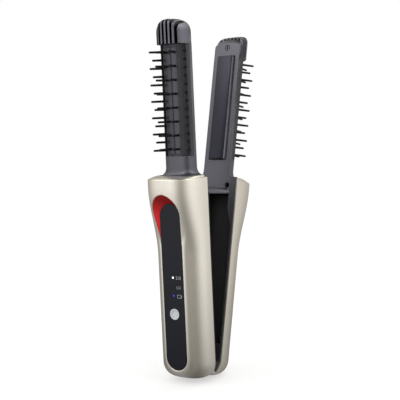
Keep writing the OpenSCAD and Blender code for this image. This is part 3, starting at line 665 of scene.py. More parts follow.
def metal(name, colour, rough, brushed=(1, 1, 1)):
    """Bare metal with fine lines."""
    f = Finish(name)
    lines = f.noise(900.0, 4.0, 0.65, brushed)
    tone = f.blend(lines, shade(colour, 0.85), shade(colour, 1.1))
    return f.done(
        Base_Color=tone, Metallic=1.0, Roughness=rough - 0.06 + lines * 0.16,
        Normal=f.surface(lines, 0.000004, 0.5, 0.00015))


def coated(name, colour):
    """Ceramic coating of a heater plate: satin, with a fine metallic speckle."""
    f = Finish(name)
    speck = f.node(
        "ShaderNodeTexVoronoi", None, {"Vector": f.place, "Scale": 6200.0}, output="Color")
    spark = f.node("ShaderNodeSeparateColor", None, {0: speck})
    streak = f.noise(300.0, 3.0, 0.6, (1.0, 1.0, 0.06))
    tone = f.blend(spark, shade(colour, 0.8), shade(colour, 1.25))
    return f.done(
        Base_Color=tone, Metallic=0.55, Roughness=0.26 + streak * 0.12,
        Normal=f.surface(spark, 0.000003, 0.4, 0.0003))


def lit(name, colour, strength):
    """End of a light guide that glows."""
    f = Finish(name)
    core = f.noise(900.0, 1.0)
    tone = f.blend(core, shade(colour, 0.92), colour)
    return f.done(
        Base_Color=tone, Roughness=0.2, Coat_Weight=0.6, Emission_Color=tone,
        Emission_Strength=strength)


def wrapped(name, colour, low=0.026, high=0.078):
    """Shrink film of the cells, with a printed band at each end and small wrinkles."""
    f = Finish(name)
    height = f.axis("Z")
    band = (height > high) + (height < low)
    tone = f.blend(band.clipped(), colour, shade(colour, 0.35))
    wrinkle = f.noise(500.0, 3.0, 0.6, (1.0, 1.0, 0.3))
    return f.done(
        Base_Color=tone, Roughness=0.3 + wrinkle * 0.1, Coat_Weight=0.4,
        Normal=f.surface(wrinkle, 0.00002, 0.4))


def board(name, colour):
    """Solder mask with paler traces."""
    f = Finish(name)
    cells = f.node(
        "ShaderNodeTexBrick", None,
        {"Vector": f.node("ShaderNodeMapping", None, {
            "Vector": f.place, "Rotation": (math.pi / 2, 0, 0)}),
         "Scale": 230.0, "Mortar Size": 0.06, "Color1": (0, 0, 0, 1),
         "Color2": (0, 0, 0, 1), "Mortar": (1, 1, 1, 1)}, output="Color")
    trace = f.node("ShaderNodeSeparateColor", None, {0: cells})
    tone = f.blend(trace, colour, shade(colour, 1.9))
    return f.done(
        Base_Color=tone, Roughness=0.35 + trace * 0.1,
        Normal=f.surface(trace, 0.00003, 0.5))


FINISHES = {}


def finishes():
    """The finishes, made once from the colour properties."""
    if FINISHES:
        return FINISHES
    c = bpy.context.scene.iron_colours
    FINISHES.update(
        shell=lacquer("champagne_lacquer", c.shell),
        # The red lining carries painted shade, darker towards the top and the right of the recess
        lining=moulded("red_lining", c.lining, 0.36, 1500.0, 0.000006, gleam=0.12,
                       painted_shade=(0.115, 0.129)),
        panel=moulded("navy_panel", c.panel, 0.26, 1900.0, 0.000003, gleam=0.27),
        graphite=moulded("graphite_plastic", c.graphite, 0.30, edge=0.001,
                         metallic=0.7),
        barrel=moulded("barrel_plastic", shade(c.graphite, 0.5), 0.3, metallic=0.7),
        strip=moulded("strip_plastic", shade(c.graphite, 0.72), 0.3, metallic=0.7),
        # The tips' plastic is paler than the graphite, and the gaps between its fins hold painted
        # shade
        fins=moulded("finned_plastic", shade(c.graphite, 1.3), 0.3, edge=0.0005,
                     metallic=0.7, fins=True),
        black=moulded("black_plastic", c.black, 0.45, gleam=0.25),
        bristle=moulded("bristle_nylon", c.bristle, 0.34, 3000.0, 0.000004, edge=0.0,
                        gleam=0.35),
        plate=coated("plate_coating", c.plate),
        carrier=moulded("carrier_plastic", (0.24, 0.24, 0.26), 0.42, gleam=0.3),
        button=moulded("button_grey", c.button, 0.32, 2200.0, 0.000005, 0.3),
        marking=moulded("panel_print", c.marking, 0.5, 2600.0, 0.000003, edge=0.0),
        faint=moulded("faint_print", c.faint, 0.5, 2600.0, 0.000003, edge=0.0),
        steel=metal("steel", (0.56, 0.56, 0.57), 0.3, (1.0, 1.0, 0.1)),
        dark_steel=metal("black_steel", (0.3, 0.3, 0.32), 0.34),
        ceramic=moulded("heater_ceramic", (0.78, 0.75, 0.68), 0.55, 1200.0, 0.00002),
        wrap=wrapped("cell_wrap", (0.035, 0.12, 0.36)),
        board=board("board_green", (0.012, 0.10, 0.04)),
        white_light=lit("white_light", (0.95, 0.97, 1.0), 1.1),
        blue_light=lit("blue_light", (0.05, 0.04, 0.62), 0.5),
        dead_light=moulded("clear_light", (0.02, 0.02, 0.028), 0.3, 1500.0, 0.000004,
                           gleam=0.3),
    )
    return FINISHES


# Handle shells

def eased(u):
    """Soft step from 0 to 1."""
    u = min(1.0, max(0.0, u))
    return u * u * (3 - 2 * u)


def flare(z):
    """Share of the collar's flare that is reached at a height."""
    h = handle()
    return eased((z - h.flare_low) / (h.flare_high - h.flare_low))


def bottom_lift(a):
    """Height above the bottom at an angle of its rounding."""
    return handle().bottom_round * (1 - math.sin(a) ** (2 / BOTTOM_POWER))


def bottom_inset(a):
    """Distance from the full section at an angle of the bottom's rounding."""
    return handle().bottom_round * (1 - max(0.0, math.cos(a)) ** (2 / BOTTOM_POWER))


def grip_square(z):
    h = handle()
    return h.grip_square + (h.collar_square - h.grip_square) * flare(z)


def grip_depth(depth, collar, z):
    return depth + (collar - depth) * flare(z)


def skin_rings(depth, collar, inset=0.0, back=0.0, flare_steps=FLARE_STEPS, first=90.0,
               grip_steps=7):
    """Sections of a shell from its bottom to the top of its flare."""
    h = handle()
    rings = []
    for i in range(23):
        a = math.radians(first * (1 - i / 22))
        rings.append(squircle(
            h.width / 2 - inset - BOTTOM_SHARE * bottom_inset(a),
            depth - inset - bottom_inset(a), h.grip_square,
            (inset if first < 90 else 0.0) + bottom_lift(a), back))
    for i in range(1, grip_steps):
        z = h.bottom_round + (h.flare_low - h.bottom_round) * i / grip_steps
        rings.append(squircle(h.width / 2 - inset, depth - inset, h.grip_square, z, back))
    for i in range(flare_steps + 1):
        z = h.flare_low + (h.flare_high - h.flare_low) * i / flare_steps
        rings.append(squircle(
            h.width / 2 - inset, grip_depth(depth, collar, z) - inset, grip_square(z), z,
            back))
    return rings


def rim_rings(collar):
    """Sections of the collar's rounded rim."""
    h = handle()
    rings = []
    for i in range(9):
        a = math.radians(90 * i / 8)
        e = h.rim_round * (1 - math.cos(a))
        rings.append(squircle(
            h.width / 2 - e, collar - e, h.collar_square,
            h.height - h.rim_round * (1 - math.sin(a))))
    return rings


def raised_top(collar):
    """The collar's top, which rises towards its middle."""
    h = handle()
    side = 0.0013
    rings = []
    for inset, front, up in (
            (0.0, 0.0, -h.rim_round), (0.0, 0.0, h.rise * 0.1), (0.00012, 0.0002, h.rise * 0.2),
            (0.0002, 0.005, h.rise * 0.75), (0.0003, 0.0075, h.rise * 0.9),
            (0.0006, 0.010, h.rise)):
        rings.append(squircle(
            h.width / 2 - side - inset, collar - side - front, h.collar_square,
            h.height + up))
    return lofted("raised_top", rings)


def stadium(half, low, high, steps=48):
    """Outline with straight sides and round ends."""
    outline = []
    for start, middle in ((0.0, high - half), (math.pi, low + half)):
        for i in range(steps + 1):
            a = start + math.pi * i / steps
            outline.append((half * math.cos(a), middle + half * math.sin(a)))
    return outline


def flange_outline(inset, low, high):
    """Outline of a shell at the mating plane, between two heights."""
    h = handle()
    right = []
    for i in range(25):
        a = math.radians(90 - 90 * i / 24)
        if bottom_lift(a) > low:
            right.append((
                h.width / 2 - inset - BOTTOM_SHARE * bottom_inset(a), bottom_lift(a)))
    start = math.asin(max(0.0, 1 - low / h.bottom_round) ** (BOTTOM_POWER / 2))
    right = [(h.width / 2 - inset - BOTTOM_SHARE * bottom_inset(start), low)] + right
    right.append((h.width / 2 - inset, high))
    return right + [(-x, z) for x, z in reversed(right)]


def recess(grow, inner, reach):
    """Form of the thumb recess: an arch that widens outwards."""
    p = panel()
    r0 = p.half + CLEAR + grow
    r1 = r0 + p.slope * reach
    arch = p.high - p.half
    low = handle().flare_low + 0.001

    def outline(r):
        ring = []
        for i in range(65):
            a = math.pi * i / 64
            own = r0 + (r - r0) * (1 - p.steep_side * max(0.0, math.cos(a)) ** 0.7)
            ring.append((own * math.cos(a), arch + own * math.sin(a)))
        return ring + [(-r, low), (ring[0][0], low)]

    return lofted("recess", [
        [(x, p.face + inner, z) for x, z in outline(r0)],
        [(x, p.face, z) for x, z in outline(r0)],
        [(x, p.face + reach, z) for x, z in outline(r1)]])


def recess_reach():
    """How far the recess's form goes outwards, past the collar's skin."""
    return handle().main_collar - handle().main_depth + OVER


def panel_distance(x, z):
    """Distance from the panel's outline, in the plane of its face."""
    p = panel()
    past_z = max(p.low + p.half - z, z - p.high + p.half, 0.0)
    return math.hypot(x, past_z) - p.half


def lifted(x, y, z):
    """Depth of the main shell's skin with its raised edge round the panel."""
    p = panel()
    return max(y, y + (p.raised - y) * eased(1 - panel_distance(x, z) / p.spread))


def under_edge(form, extra):
    """Keeps what lies in the flare, below the main shell's edge."""
    h = handle()
    rings = skin_rings(h.main_depth, h.main_collar, EDGE_COVER + extra)
    return shaped(form, lofted("inner_form", rings[-FLARE_STEPS - 1:]),
                  operation="INTERSECT")


def panel_chamfer(wide=0.0007, deep=0.00025, lead=0.0004, high=0.104, step=0.004):
    """Cutter for the bevel that leads from the shell down to the panel's edge."""
    p = panel()
    r = p.half + p.seam
    low = p.low - p.seam + r
    heights = [z for z in (high - i * step for i in range(1, 22)) if z > low]
    path = [(r, z, 1.0, 0.0) for z in heights]
    for i in range(49):
        a = -math.pi * i / 48
        path.append((r * math.cos(a), low + r * math.sin(a), math.cos(a), math.sin(a)))
    path += [(-r, z, -1.0, 0.0) for z in reversed(heights)]
    rings = []
    for x, z, nx, nz in path:
        ring = []
        for out, up in ((-ROOM, -deep), (0.0, -deep), (wide, 0.0), (wide + lead, ROOM),
                        (wide, PAST), (-ROOM, PAST)):
            px, pz = x + nx * out, z + nz * out
            ring.append((px, shell_depth(px, pz) + up, pz))
        rings.append(ring)
    return lofted("panel_chamfer", rings)


def shell_depth(x, z):
    """Depth of the main shell's surface at a point."""
    h = handle()
    square = grip_square(z)
    w, d = h.width / 2, grip_depth(h.main_depth, h.main_collar, z)
    if z < h.bottom_round:
        lift = 1 - z / h.bottom_round
        a = math.asin(min(1.0, max(0.0, lift)) ** (BOTTOM_POWER / 2))
        w -= BOTTOM_SHARE * bottom_inset(a)
        d -= bottom_inset(a)
    return lifted(x, d * max(0.0, 1 - abs(x / w) ** square) ** (1 / square), z)


def cut_main_shell(body):
    """Opens the main shell for the panel, the recess, the lever's knuckles and the socket."""
    h = handle()
    p = panel()
    reach = recess_reach()
    shaped(
        body, slab("panel_hole", stadium(p.half + p.seam, p.low - p.seam, p.high - PAST),
                   h.main_depth - DEEP, h.main_depth + PAST),
        recess(0.0, -SEAT, reach),
        under_edge(recess(p.recess_wall, -SEAT, reach), 0.0),
        panel_chamfer(),
        pivot_rod(MIDDLE_KNUCKLE, KNUCKLE_END + ROOM, KNUCKLE + ROOM),
        pivot_rod(-KNUCKLE_END - ROOM, -MIDDLE_KNUCKLE, KNUCKLE + ROOM),
        pivot_rod(-MIDDLE_KNUCKLE - CLEAR, MIDDLE_KNUCKLE + CLEAR, KNUCKLE + CLEAR),
        lofted("socket_hole", [
            [(SOCKET["half"] * side + SOCKET["r"] * math.cos(a),
              SOCKET["y"] + SOCKET["r"] * math.sin(a), z) for side, a in socket_angles()]
            for z in (-PAST, SOCKET["depth"])]))


def socket_angles():
    """Side and angle of the points round the socket's opening."""
    return [(side, math.radians(first + 180 * i / 16))
            for side, first in ((1, -90), (-1, 90)) for i in range(17)]


def add_knuckles(body):
    """Adds the lever's knuckles, with the webs that carry them."""
    h = handle()
    shaped(body, pivot_rod(-KNUCKLE_START, KNUCKLE_START, KNUCKLE + ROOM))
    low, high = PIVOT_HEIGHT - KNUCKLE_FLOOR, PIVOT_HEIGHT + KNUCKLE
    wall = h.width / 2 - h.wall + 2 * CLEAR
    for s in (1, -1):
        knuckle = pivot_rod(s * KNUCKLE_START, s * KNUCKLE_END, KNUCKLE)
        for out, y0 in ((KNUCKLE_END, -GAP / 2), (wall, WEB_START)):
            web = rectangle(s * KNUCKLE_START, s * out, low, high)
            shaped(knuckle, slab("web", web, y0, WEB_END), operation="UNION")
        shaped(knuckle, lofted("bottom_form", skin_rings(
            h.lever_depth, h.lever_collar, 0.0, GAP + OVER)), operation="INTERSECT")
        shaped(body, knuckle, operation="UNION")
    shaped(body, pivot_rod(PIN_HOLE["x0"], PIN_HOLE["x1"], PIN_HOLE["r"]))


def shell(arm):
    """One handle shell in its half frame."""
    h = handle()
    main = arm == "main"
    depth = h.main_depth if main else h.lever_depth
    collar = h.main_collar if main else h.lever_collar
    rings = skin_rings(depth, collar, grip_steps=48) + rim_rings(collar)[1:]
    if main:
        rings = [[(x, lifted(x, y, z) if y > RAISED_ABOVE else y, z) for x, y, z in ring]
                 for ring in rings]
    body = lofted(arm + "_housing_skin", rings)
    shaped(body, raised_top(collar), operation="UNION")
    roof = h.height - ROOF
    top = h.height + OVER
    room = skin_rings(depth, collar, h.wall, PAST, 24, 70.0)
    room.append([(x, y, roof) for x, y, z in room[-1]])
    flange_low = PIVOT_HEIGHT + KNUCKLE + ROOM if main else LEVER_FLANGE
    shaped(
        body, lofted("room", room),
        lofted("foot_hole", [
            squircle(FOOT_HALF[arm] + CLEAR, FOOT_DEPTH + CLEAR, FOOT_SQUARE, z, PAST)
            for z in (roof - PAST, top)]),
        slab("flange", flange_outline(h.lip, flange_low, top), -PAST, FLANGE_T))
    if main:
        cut_main_shell(body)
    else:
        add_knuckles(body)
    return body


class IRON_OT_shells(bpy.types.Operator):
    """Builds the two champagne shells"""
    bl_idname = "iron.shells"
    bl_label = "Handle shells"

    def execute(self, context):
        for arm, facts in ARMS.items():
            piece = placed(shell(arm), facts["place"], 1e-6, 28.0)
            stand_for(piece, facts["body"], finishes()["shell"], "champagne_shell",
                      arm + "_housing")
        return {"FINISHED"}


class IRON_OT_recess(bpy.types.Operator):
    """Builds the red lining of the thumb recess"""
    bl_idname = "iron.recess"
    bl_label = "Thumb recess"

    def execute(self, context):
        p = panel()
        reach = recess_reach()
        piece = under_edge(recess(p.recess_wall - CLEAR, CLEAR - SEAT, reach), CLEAR)
        piece.name = "recess_lining"
        hollow = shaped(
            recess(0.0, -SEAT, reach + PAST),
            slab("seat", stadium(p.half + PAST, p.low - 2 * PAST, p.high + 3 * OVER),
                 p.face - DEEP, p.face - PANEL_T - FLUSH))
        shaped(piece, hollow, slab(
            "window", stadium(p.half - LEDGE, p.low + 2 * PAST, p.high - LEDGE),
            p.face - DEEP, p.face))
        placed(piece, MAIN, 1e-6, 32.0)
        stand_for(piece, "main_arm", finishes()["lining"], "red_lining", "thumb_scoop")
        return {"FINISHED"}


def panel_depth(x):
    """Depth of the solid panel's crowned face at x."""
    h = handle()
    share = 1 - abs(2 * x / h.width) ** h.grip_square
    return panel().face * share ** (1 / h.grip_square)


class IRON_OT_panel(bpy.types.Operator):
    """Flattens the front of the navy control panel"""
    bl_idname = "iron.panel"
    bl_label = "Control panel"

    def execute(self, context):
        piece = copy_of("control_panel")
        for vertex in piece.data.vertices:
            if SET_IN - vertex.co.y > panel_depth(vertex.co.x) - 0.0003:
                vertex.co.y = SET_IN - panel().flat
        smooth(piece, 32.0)
        stand_for(piece, "main_arm", finishes()["panel"], "navy_panel", "control_panel")
        return {"FINISHED"}


def on_panel(mesh, lift):
    """Lays a flat mesh, drawn in x and z, on the panel's face."""
    for vertex in mesh.vertices:
        x, y, z = vertex.co
        vertex.co = (x, SET_IN - panel().flat - lift - y, z)


def number(text, x, z, size):
    """A printed number, narrowed, with its left edge at x and its middle at z."""
    curve = bpy.data.curves.new("number_" + text, "FONT")
    curve.body = text
    curve.size = size / CAPITAL
    curve.extrude = 0.000015
    curve.offset = -0.00004
    curve.resolution_u = 4
    lettering = bpy.data.objects.new("number_" + text, curve)
    bpy.context.scene.collection.objects.link(lettering)
    graph = bpy.context.evaluated_depsgraph_get()
    mesh = bpy.data.meshes.new_from_object(lettering.evaluated_get(graph), depsgraph=graph)
    bpy.data.objects.remove(lettering)
    left = min(v.co.x for v in mesh.vertices)
    for v in mesh.vertices:
        v.co = ((v.co.x - left) * NARROW + x, v.co.z, v.co.y - size / 2 + z)
    outward(mesh, 1e-7)
    return new_piece("number_" + text, mesh)


def battery(left, z, h, w=0.0034, line=0.0002, knob=0.0004):
    """Outline of a battery, drawn with thin bars, and its knob."""
    right, low, high = left + w, z - h / 2, z + h / 2
    bars = [
        (left, right, low, low + line), (left, right, high - line, high),
        (left, left + line, low + line, high - line),
        (right - line, right, low + line, high - line),
        (right, right + knob, z - h * 0.2, z + h * 0.2)]
    return joined("battery_icon", [
        slab("bar", rectangle(*bar), 0.0, 0.00003) for bar in bars])


class IRON_OT_controls(bpy.types.Operator):
    """Builds the power button, the indicators and the print beside them"""
    bl_idname = "iron.controls"
    bl_label = "Controls"

    def execute(self, context):
        p = panel()
        f = finishes()
        r = p.button_radius
        # From the middle of the face, over the dish and the rim, to the flange's underside
        steps = [
            (0.0, -0.0010), (r - 0.0013, -0.0010), (r - 0.0011, -0.0009),
            (r - 0.0010, -0.0001), (r - 0.0008, 0.0), (r - 0.0004, 0.0),
            (r - 0.00012, -0.00015), (r, -0.0005), (r, -0.0026),
            (r + 0.0008, -0.0026), (r + 0.0008, -0.00355), (0.0, -0.00355)]
        piece = turned("power_button_skin", steps, p.button, p.face + BUTTON_PROUD)
        placed(piece, MAIN, 1e-7, 40.0)
        stand_for(piece, "power_button", f["button"], "button_grey", "power_button")
        for index, finish in enumerate(("white_light", "dead_light", "blue_light")):
            z = p.light - index * p.light_pitch
            w = p.light_radius
            lamp = turned(f"indicator_{index + 1}", [
                (0.0, 0.0), (w * 0.6, -0.00004), (w * 0.9, -0.0002), (w, -0.0005),
                (w, -0.0038), (0.0, -0.0038)], z, p.flat - FLUSH)
            placed(lamp, MAIN, 1e-7, 50.0)
            nodes = ("indicator_lights",) if index == 0 else ()
            stand_for(lamp, "main_arm", f[finish], "light_clear", *nodes)
        marks = []
        for index, (text, left, drop, finish) in enumerate(PRINT):
            z = p.light - index * p.light_pitch - drop
            mark = number(text, left, z, p.number) if text else battery(left, z, p.number)
            on_panel(mark.data, FLUSH)
            outward(mark.data)
            mark.data.materials.clear()
            mark.data.materials.append(f[finish])
            marks.append(mark)
        stand_for(joined("panel_markings", marks), "main_arm", None, "button_grey")
        return {"FINISHED"}


# Frames, covers and tips

class IRON_OT_frames(bpy.types.Operator):
    """Dresses the frames, the handle covers and the hollow's lining"""
    bl_idname = "iron.frames"
    bl_label = "Frames and covers"

    def execute(self, context):
        f = finishes()
        for arm, part, finish in (
                ("main", "frame", "graphite"), ("lever", "frame", "graphite"),
                ("main", "inner_cover", "black"), ("lever", "liner", "black")):
            piece = copy_of(f"{arm}_{part}")
            if (arm, part) == ("lever", "frame"):
                sloped_top(piece, LEVER)
            smooth(piece)
            stand_for(piece, ARMS[arm]["body"], f[finish], finish + "_plastic",
                      f"{arm}_{part}")
        return {"FINISHED"}


class IRON_OT_barrels(bpy.types.Operator):
    """Dresses the barrel covers and the finned tips"""
    bl_idname = "iron.barrels"
    bl_label = "Barrels and tips"

    def execute(self, context):
        f = finishes()
        for arm, facts in ARMS.items():
            for part, finish in (("barrel_cover", "barrel"), ("tip_cap", "fins")):
                piece = copy_of(f"{arm}_{part}")
                piece.data.materials.append(f[finish])
                if part == "tip_cap" and arm == "lever":
                    band = smooth_front(piece, facts["place"], FRAME_T, FRAME_T + FRONT_T)
                    band.data.materials.clear()
                    band.data.materials.append(f["graphite"])
                    piece = joined(piece.name, [piece, band])
                smooth(piece)
                stand_for(piece, facts["body"], None, "graphite_plastic", f"{arm}_{part}")
        return {"FINISHED"}


# Bristles and screws by Geometry Nodes

class Grove:
    """Small helper that builds a Geometry Nodes tree with named inputs."""

    def __init__(self, name, numbers, counts=(), places=()):
        self.tree = bpy.data.node_groups.new(name, "GeometryNodeTree")
        face = self.tree.interface
        face.new_socket(name="Geometry", in_out="OUTPUT", socket_type="NodeSocketGeometry")
        self.names = {}
        kinds = [("Float", numbers), ("Int", counts),
                 ("Vector", [(place, (0.0, 0.0, 0.0)) for place in places])]
        for kind, rows in kinds:
            for label, value in rows:
                socket = face.new_socket(
                    name=label, in_out="INPUT", socket_type="NodeSocket" + kind)
                socket.default_value = value
                self.names[label] = socket.identifier
        self.names["Finish"] = face.new_socket(
            name="Finish", in_out="INPUT", socket_type="NodeSocketMaterial").identifier
        self.entry = self.tree.nodes.new("NodeGroupInput")
        self.out = self.tree.nodes.new("NodeGroupOutput")

    def add(self, kind, settings=None, **links):
        """Adds a node and gives its first output; i0, i1 and so on name inputs by place."""
        made = self.tree.nodes.new(kind)
        for key, value in (settings or {}).items():
            setattr(made, key, value)
        for key, value in links.items():
            socket = made.inputs[int(key[1:]) if key[1:].isdigit() else key.replace("_", " ")]
            if isinstance(value, str):
                self.tree.links.new(self.entry.outputs[value], socket)
            elif isinstance(value, bpy.types.NodeSocket):
                self.tree.links.new(value, socket)
            else:
                socket.default_value = value
        return made.outputs[0]

    def maths(self, operation, a, b):
        return self.add("ShaderNodeMath", {"operation": operation}, i0=a, i1=b)

    def vector(self, x, y, z):
        return self.add("ShaderNodeCombineXYZ", i0=x, i1=y, i2=z)

    def shifted(self, geometry, z):
        return self.add("GeometryNodeTransform", None, Geometry=geometry,
                        Translation=self.vector(0.0, 0.0, z))

    def together(self, *geometries):
        out = self.add("GeometryNodeJoinGeometry")
        for geometry in geometries:
            self.tree.links.new(geometry, out.node.inputs[0])
        return out

    def finish(self, **instances):
        """Ends the tree with real copies on its points, in its finish."""
        grown = self.add("GeometryNodeInstanceOnPoints", None, **instances)
        real = self.add("GeometryNodeRealizeInstances", i0=grown)
        coat = self.add("GeometryNodeSetMaterial", i0=real, Material="Finish")
        self.tree.links.new(coat, self.out.inputs[0])
        return self


def pin_rows():
    """Tree that stands rounded, tapered pins along a straight row."""
    g = Grove(
        "bristle_row",
        [("Pitch", 0.006), ("Long", 0.0104), ("Short", 0.0083), ("Root radius", 0.00078),
         ("Tip radius", 0.00064), ("Sink", 0.0005)], [("Count", 13)], ["Start", "Turn"])
    top = g.maths("SUBTRACT", "Long", "Tip radius")
    stem = g.add(
        "GeometryNodeMeshCone", None, Vertices=12, Side_Segments=4, Radius_Top="Tip radius",
        Radius_Bottom="Root radius", Depth=g.maths("ADD", top, "Sink"))
    stem = g.shifted(stem, g.maths("MULTIPLY", "Sink", -1.0))
    ball = g.add(
        "GeometryNodeMeshUVSphere", None, Segments=12, Rings=8, Radius="Tip radius")
    pin = g.add("GeometryNodeSetShadeSmooth", None,
                Geometry=g.together(g.shifted(ball, top), stem))
    line = g.add(
        "GeometryNodeMeshLine", {"mode": "OFFSET"}, Count="Count", Start_Location="Start",
        Offset=g.vector(0.0, 0.0, "Pitch"))
    odd = g.maths("MODULO", g.add("GeometryNodeInputIndex"), 2.0)
    shrink = g.maths("SUBTRACT", 1.0, g.maths("DIVIDE", "Short", "Long"))
    height = g.maths("SUBTRACT", 1.0, g.maths("MULTIPLY", odd, shrink))
    return g.finish(Points=line, Instance=pin, Rotation="Turn",
                    Scale=g.vector(1.0, 1.0, height))


def run_tree(name, grove, values):
    """Evaluates a tree on an empty mesh and keeps the result as a plain mesh."""
    piece = new_piece(name, bpy.data.meshes.new(name))
    modifier = piece.modifiers.new("rule", "NODES")
    modifier.node_group = grove.tree
    for key, value in values.items():
        modifier[grove.names[key]] = value
    return baked(piece)


def crown_point(angle, lift=0.0):
    """Point at an angle round the barrel's crown, raised above it."""
    b = brush()
    r = b.crown + lift
    return r * math.sin(angle), b.depth - b.crown + r * math.cos(angle)


def strip(a0, a1, z0, z1, groove=False, raised=0.0002, edge=0.00008, sunk=0.0004,
          groove_half=0.0005, steps=16):
    """The strip that a row's pins stand on, let into the crown."""
    section = []
    for i in range(steps + 1):
        a = a0 + (a1 - a0) * i / steps
        lift = raised if 0 < i < steps else edge
        if groove and abs(crown_point(a)[0]) < groove_half:
            lift = -sunk
        section.append(crown_point(a, lift))
    for i in range(steps + 1):
        section.append(crown_point(a1 + (a0 - a1) * i / steps, -PAST))
    return lofted("base", [[(x, y, z) for x, y in section] for z in (z0, z1)])


class IRON_OT_bristles(bpy.types.Operator):
    """Stands the rows of bristles on both barrels"""
    bl_idname = "iron.bristles"
    bl_label = "Bristles"

    def execute(self, context):
        b = brush()
        f = finishes()
        grove = pin_rows()
        span = (b.side_count - 1) * b.side_pitch
        middle = b.rows + (span - (b.centre_count - 1) * b.centre_pitch) / 2
        side = {"Count": b.side_count, "Pitch": b.side_pitch, "Long": b.long_pin,
                "Short": b.short_pin}
        centre = {"Count": b.centre_count, "Pitch": b.centre_pitch, "Long": b.centre_pin,
                  "Short": b.centre_pin}

        def pins(name, facts, s, angle, lean, z):
            x, y = crown_point(angle)
            return run_tree(name, grove, {
                **facts, "Root radius": b.root, "Tip radius": b.root * TIP_TAPER,
                "Start": (s * x, y, z), "Turn": (-math.pi / 2, 0.0, -s * lean),
                "Finish": f["bristle"]})

        def base(a0, a1, finish, groove=False):
            form = strip(
                a0, a1, b.rows - STRIP_PAST, b.rows + span + STRIP_PAST, groove)
            form.data.materials.append(f[finish])
            return form

        for arm in ARMS:
            for row, s in (("left", -1), ("right", 1)):
                self.place(arm, row, [
                    pins(f"{arm}_{row}_pins", side, s, b.side_angle, b.side_lean, b.rows),
                    base(s * (b.side_angle - SIDE_STRIP), s * (b.side_angle + SIDE_STRIP),
                         "barrel")])
            wide = b.centre_angle + CENTRE_STRIP
            self.place(arm, "centre", [
                pins(f"{arm}_centre_pins", centre, s, b.centre_angle, b.centre_angle, middle)
                for s in (-1, 1)] + [base(-wide, wide, "strip", groove=True)])
        return {"FINISHED"}

    def place(self, arm, row, pieces):
        piece = put(joined(f"{arm}_{row}_bristle_set", pieces), ARMS[arm]["place"])
        smooth(piece, 40.0)
        stand_for(piece, ARMS[arm]["body"], None, "bristle_nylon", f"{arm}_{row}_bristles")


def screw_tree():
    """Tree that sets cross-head screws on given points."""
    g = Grove(
        "screws",
        [("Head radius", 0.0019), ("Head height", 0.001), ("Shank radius", 0.0011),
         ("Shank length", 0.0075), ("Cross length", 0.0026), ("Cross width", 0.0008)],
        places=["Tip screw", "Collar screw"])
    head = g.add("GeometryNodeMeshCone", None, Vertices=32, Side_Segments=1,
                 Radius_Top=g.maths("MULTIPLY", "Head radius", 0.78),
                 Radius_Bottom="Head radius", Depth="Head height")
    cut = g.add("GeometryNodeMeshBoolean", {"operation": "DIFFERENCE", "solver": "EXACT"},
                Mesh_1=head)
    for size in (("Cross width", "Cross length"), ("Cross length", "Cross width")):
        bar = g.add("GeometryNodeMeshCube", None, Size=g.vector(*size, "Head height"))
        g.tree.links.new(g.shifted(bar, "Head height"), cut.node.inputs["Mesh 2"])
    shank = g.add("GeometryNodeMeshCylinder", None, Vertices=20,
                  Radius="Shank radius", Depth="Shank length")
    shank = g.shifted(shank, g.maths("MULTIPLY", "Shank length", -0.5))
    parts = g.add("ShaderNodeSeparateXYZ", None, i0="Collar screw").node.outputs
    mirrored = g.vector(g.maths("MULTIPLY", parts[0], -1.0), parts[1], parts[2])
    points = g.together(*(
        g.add("GeometryNodeMeshLine", {"mode": "OFFSET"}, Count=1, Start_Location=where)
        for where in ("Tip screw", "Collar screw", mirrored)))
    return g.finish(Points=points, Instance=g.together(cut, shank),
                    Rotation=(math.pi / 2, 0.0, 0.0))


class IRON_OT_screws(bpy.types.Operator):
    """Sets the tip and collar screws in both arms"""
    bl_idname = "iron.screws"
    bl_label = "Screws"

    def execute(self, context):
        grove = screw_tree()
        f = finishes()
        for arm, facts in ARMS.items():
            pieces = [run_tree(f"{arm}_screw_set", grove, {
                "Tip screw": (0.0, TIP_SEAT, TIP_SCREW), "Collar screw": COLLAR_SCREW,
                "Finish": f["dark_steel"]})]
            # Black bars in the tip screws' crosses: painted shade in the cross's recess
            for a, b in (CROSS_SHADE_BARS, CROSS_SHADE_BARS[::-1]):
                mark = slab("cross", rectangle(-a, a, TIP_SCREW - b, TIP_SCREW + b),
                            *CROSS_SHADE_DEPTHS)
                mark.data.materials.append(f["black"])
                pieces.append(mark)
            piece = put(joined(f"{arm}_screw_set", pieces), facts["place"])
            smooth(piece)
            stand_for(piece, facts["body"], None, "steel", f"{arm}_screws")
        return {"FINISHED"}


class IRON_OT_plates(bpy.types.Operator):
    """Dresses the floating heater plates and their carriers"""
    bl_idname = "iron.plates"
    bl_label = "Heater plates"

    def execute(self, context):
        f = finishes()
        for arm, facts in ARMS.items():
            plate = smooth(rounded(copy_of(f"{arm}_heater_plate"), 0.0005), 40.0)
            stand_for(plate, facts["plate"], f["plate"], "coated_plate",
                      f"{arm}_heater_plate")
            carrier = smooth(copy_of(f"{arm}_plate_carrier"))
            stand_for(carrier, facts["plate"], f["carrier"], "carrier_plastic",
                      f"{arm}_plate_carrier")
        return {"FINISHED"}


class IRON_OT_inside(bpy.types.Operator):
    """Gives the nodes that stay as they are their finishes"""
    bl_idname = "iron.inside"
    bl_label = "Inner parts"

    def execute(self, context):
        f = finishes()
        for node, finish in (
                ("main_heater", "ceramic"), ("lever_heater", "ceramic"),
                ("main_plate_springs", "steel"), ("lever_plate_springs", "steel"),
                ("thermal_cutout", "steel"), ("battery_cells", "wrap"),
                ("circuit_board", "board"), ("tact_switch", "steel"),
                ("charging_socket", "steel"), ("hinge_pin", "steel"),
                ("hinge_spring", "steel")):
            materials = NODES[node].data.materials
            if not len(materials):
                materials.append(f[finish])
            for index in range(len(materials)):
                materials[index] = f[finish]
        return {"FINISHED"}


# Stage

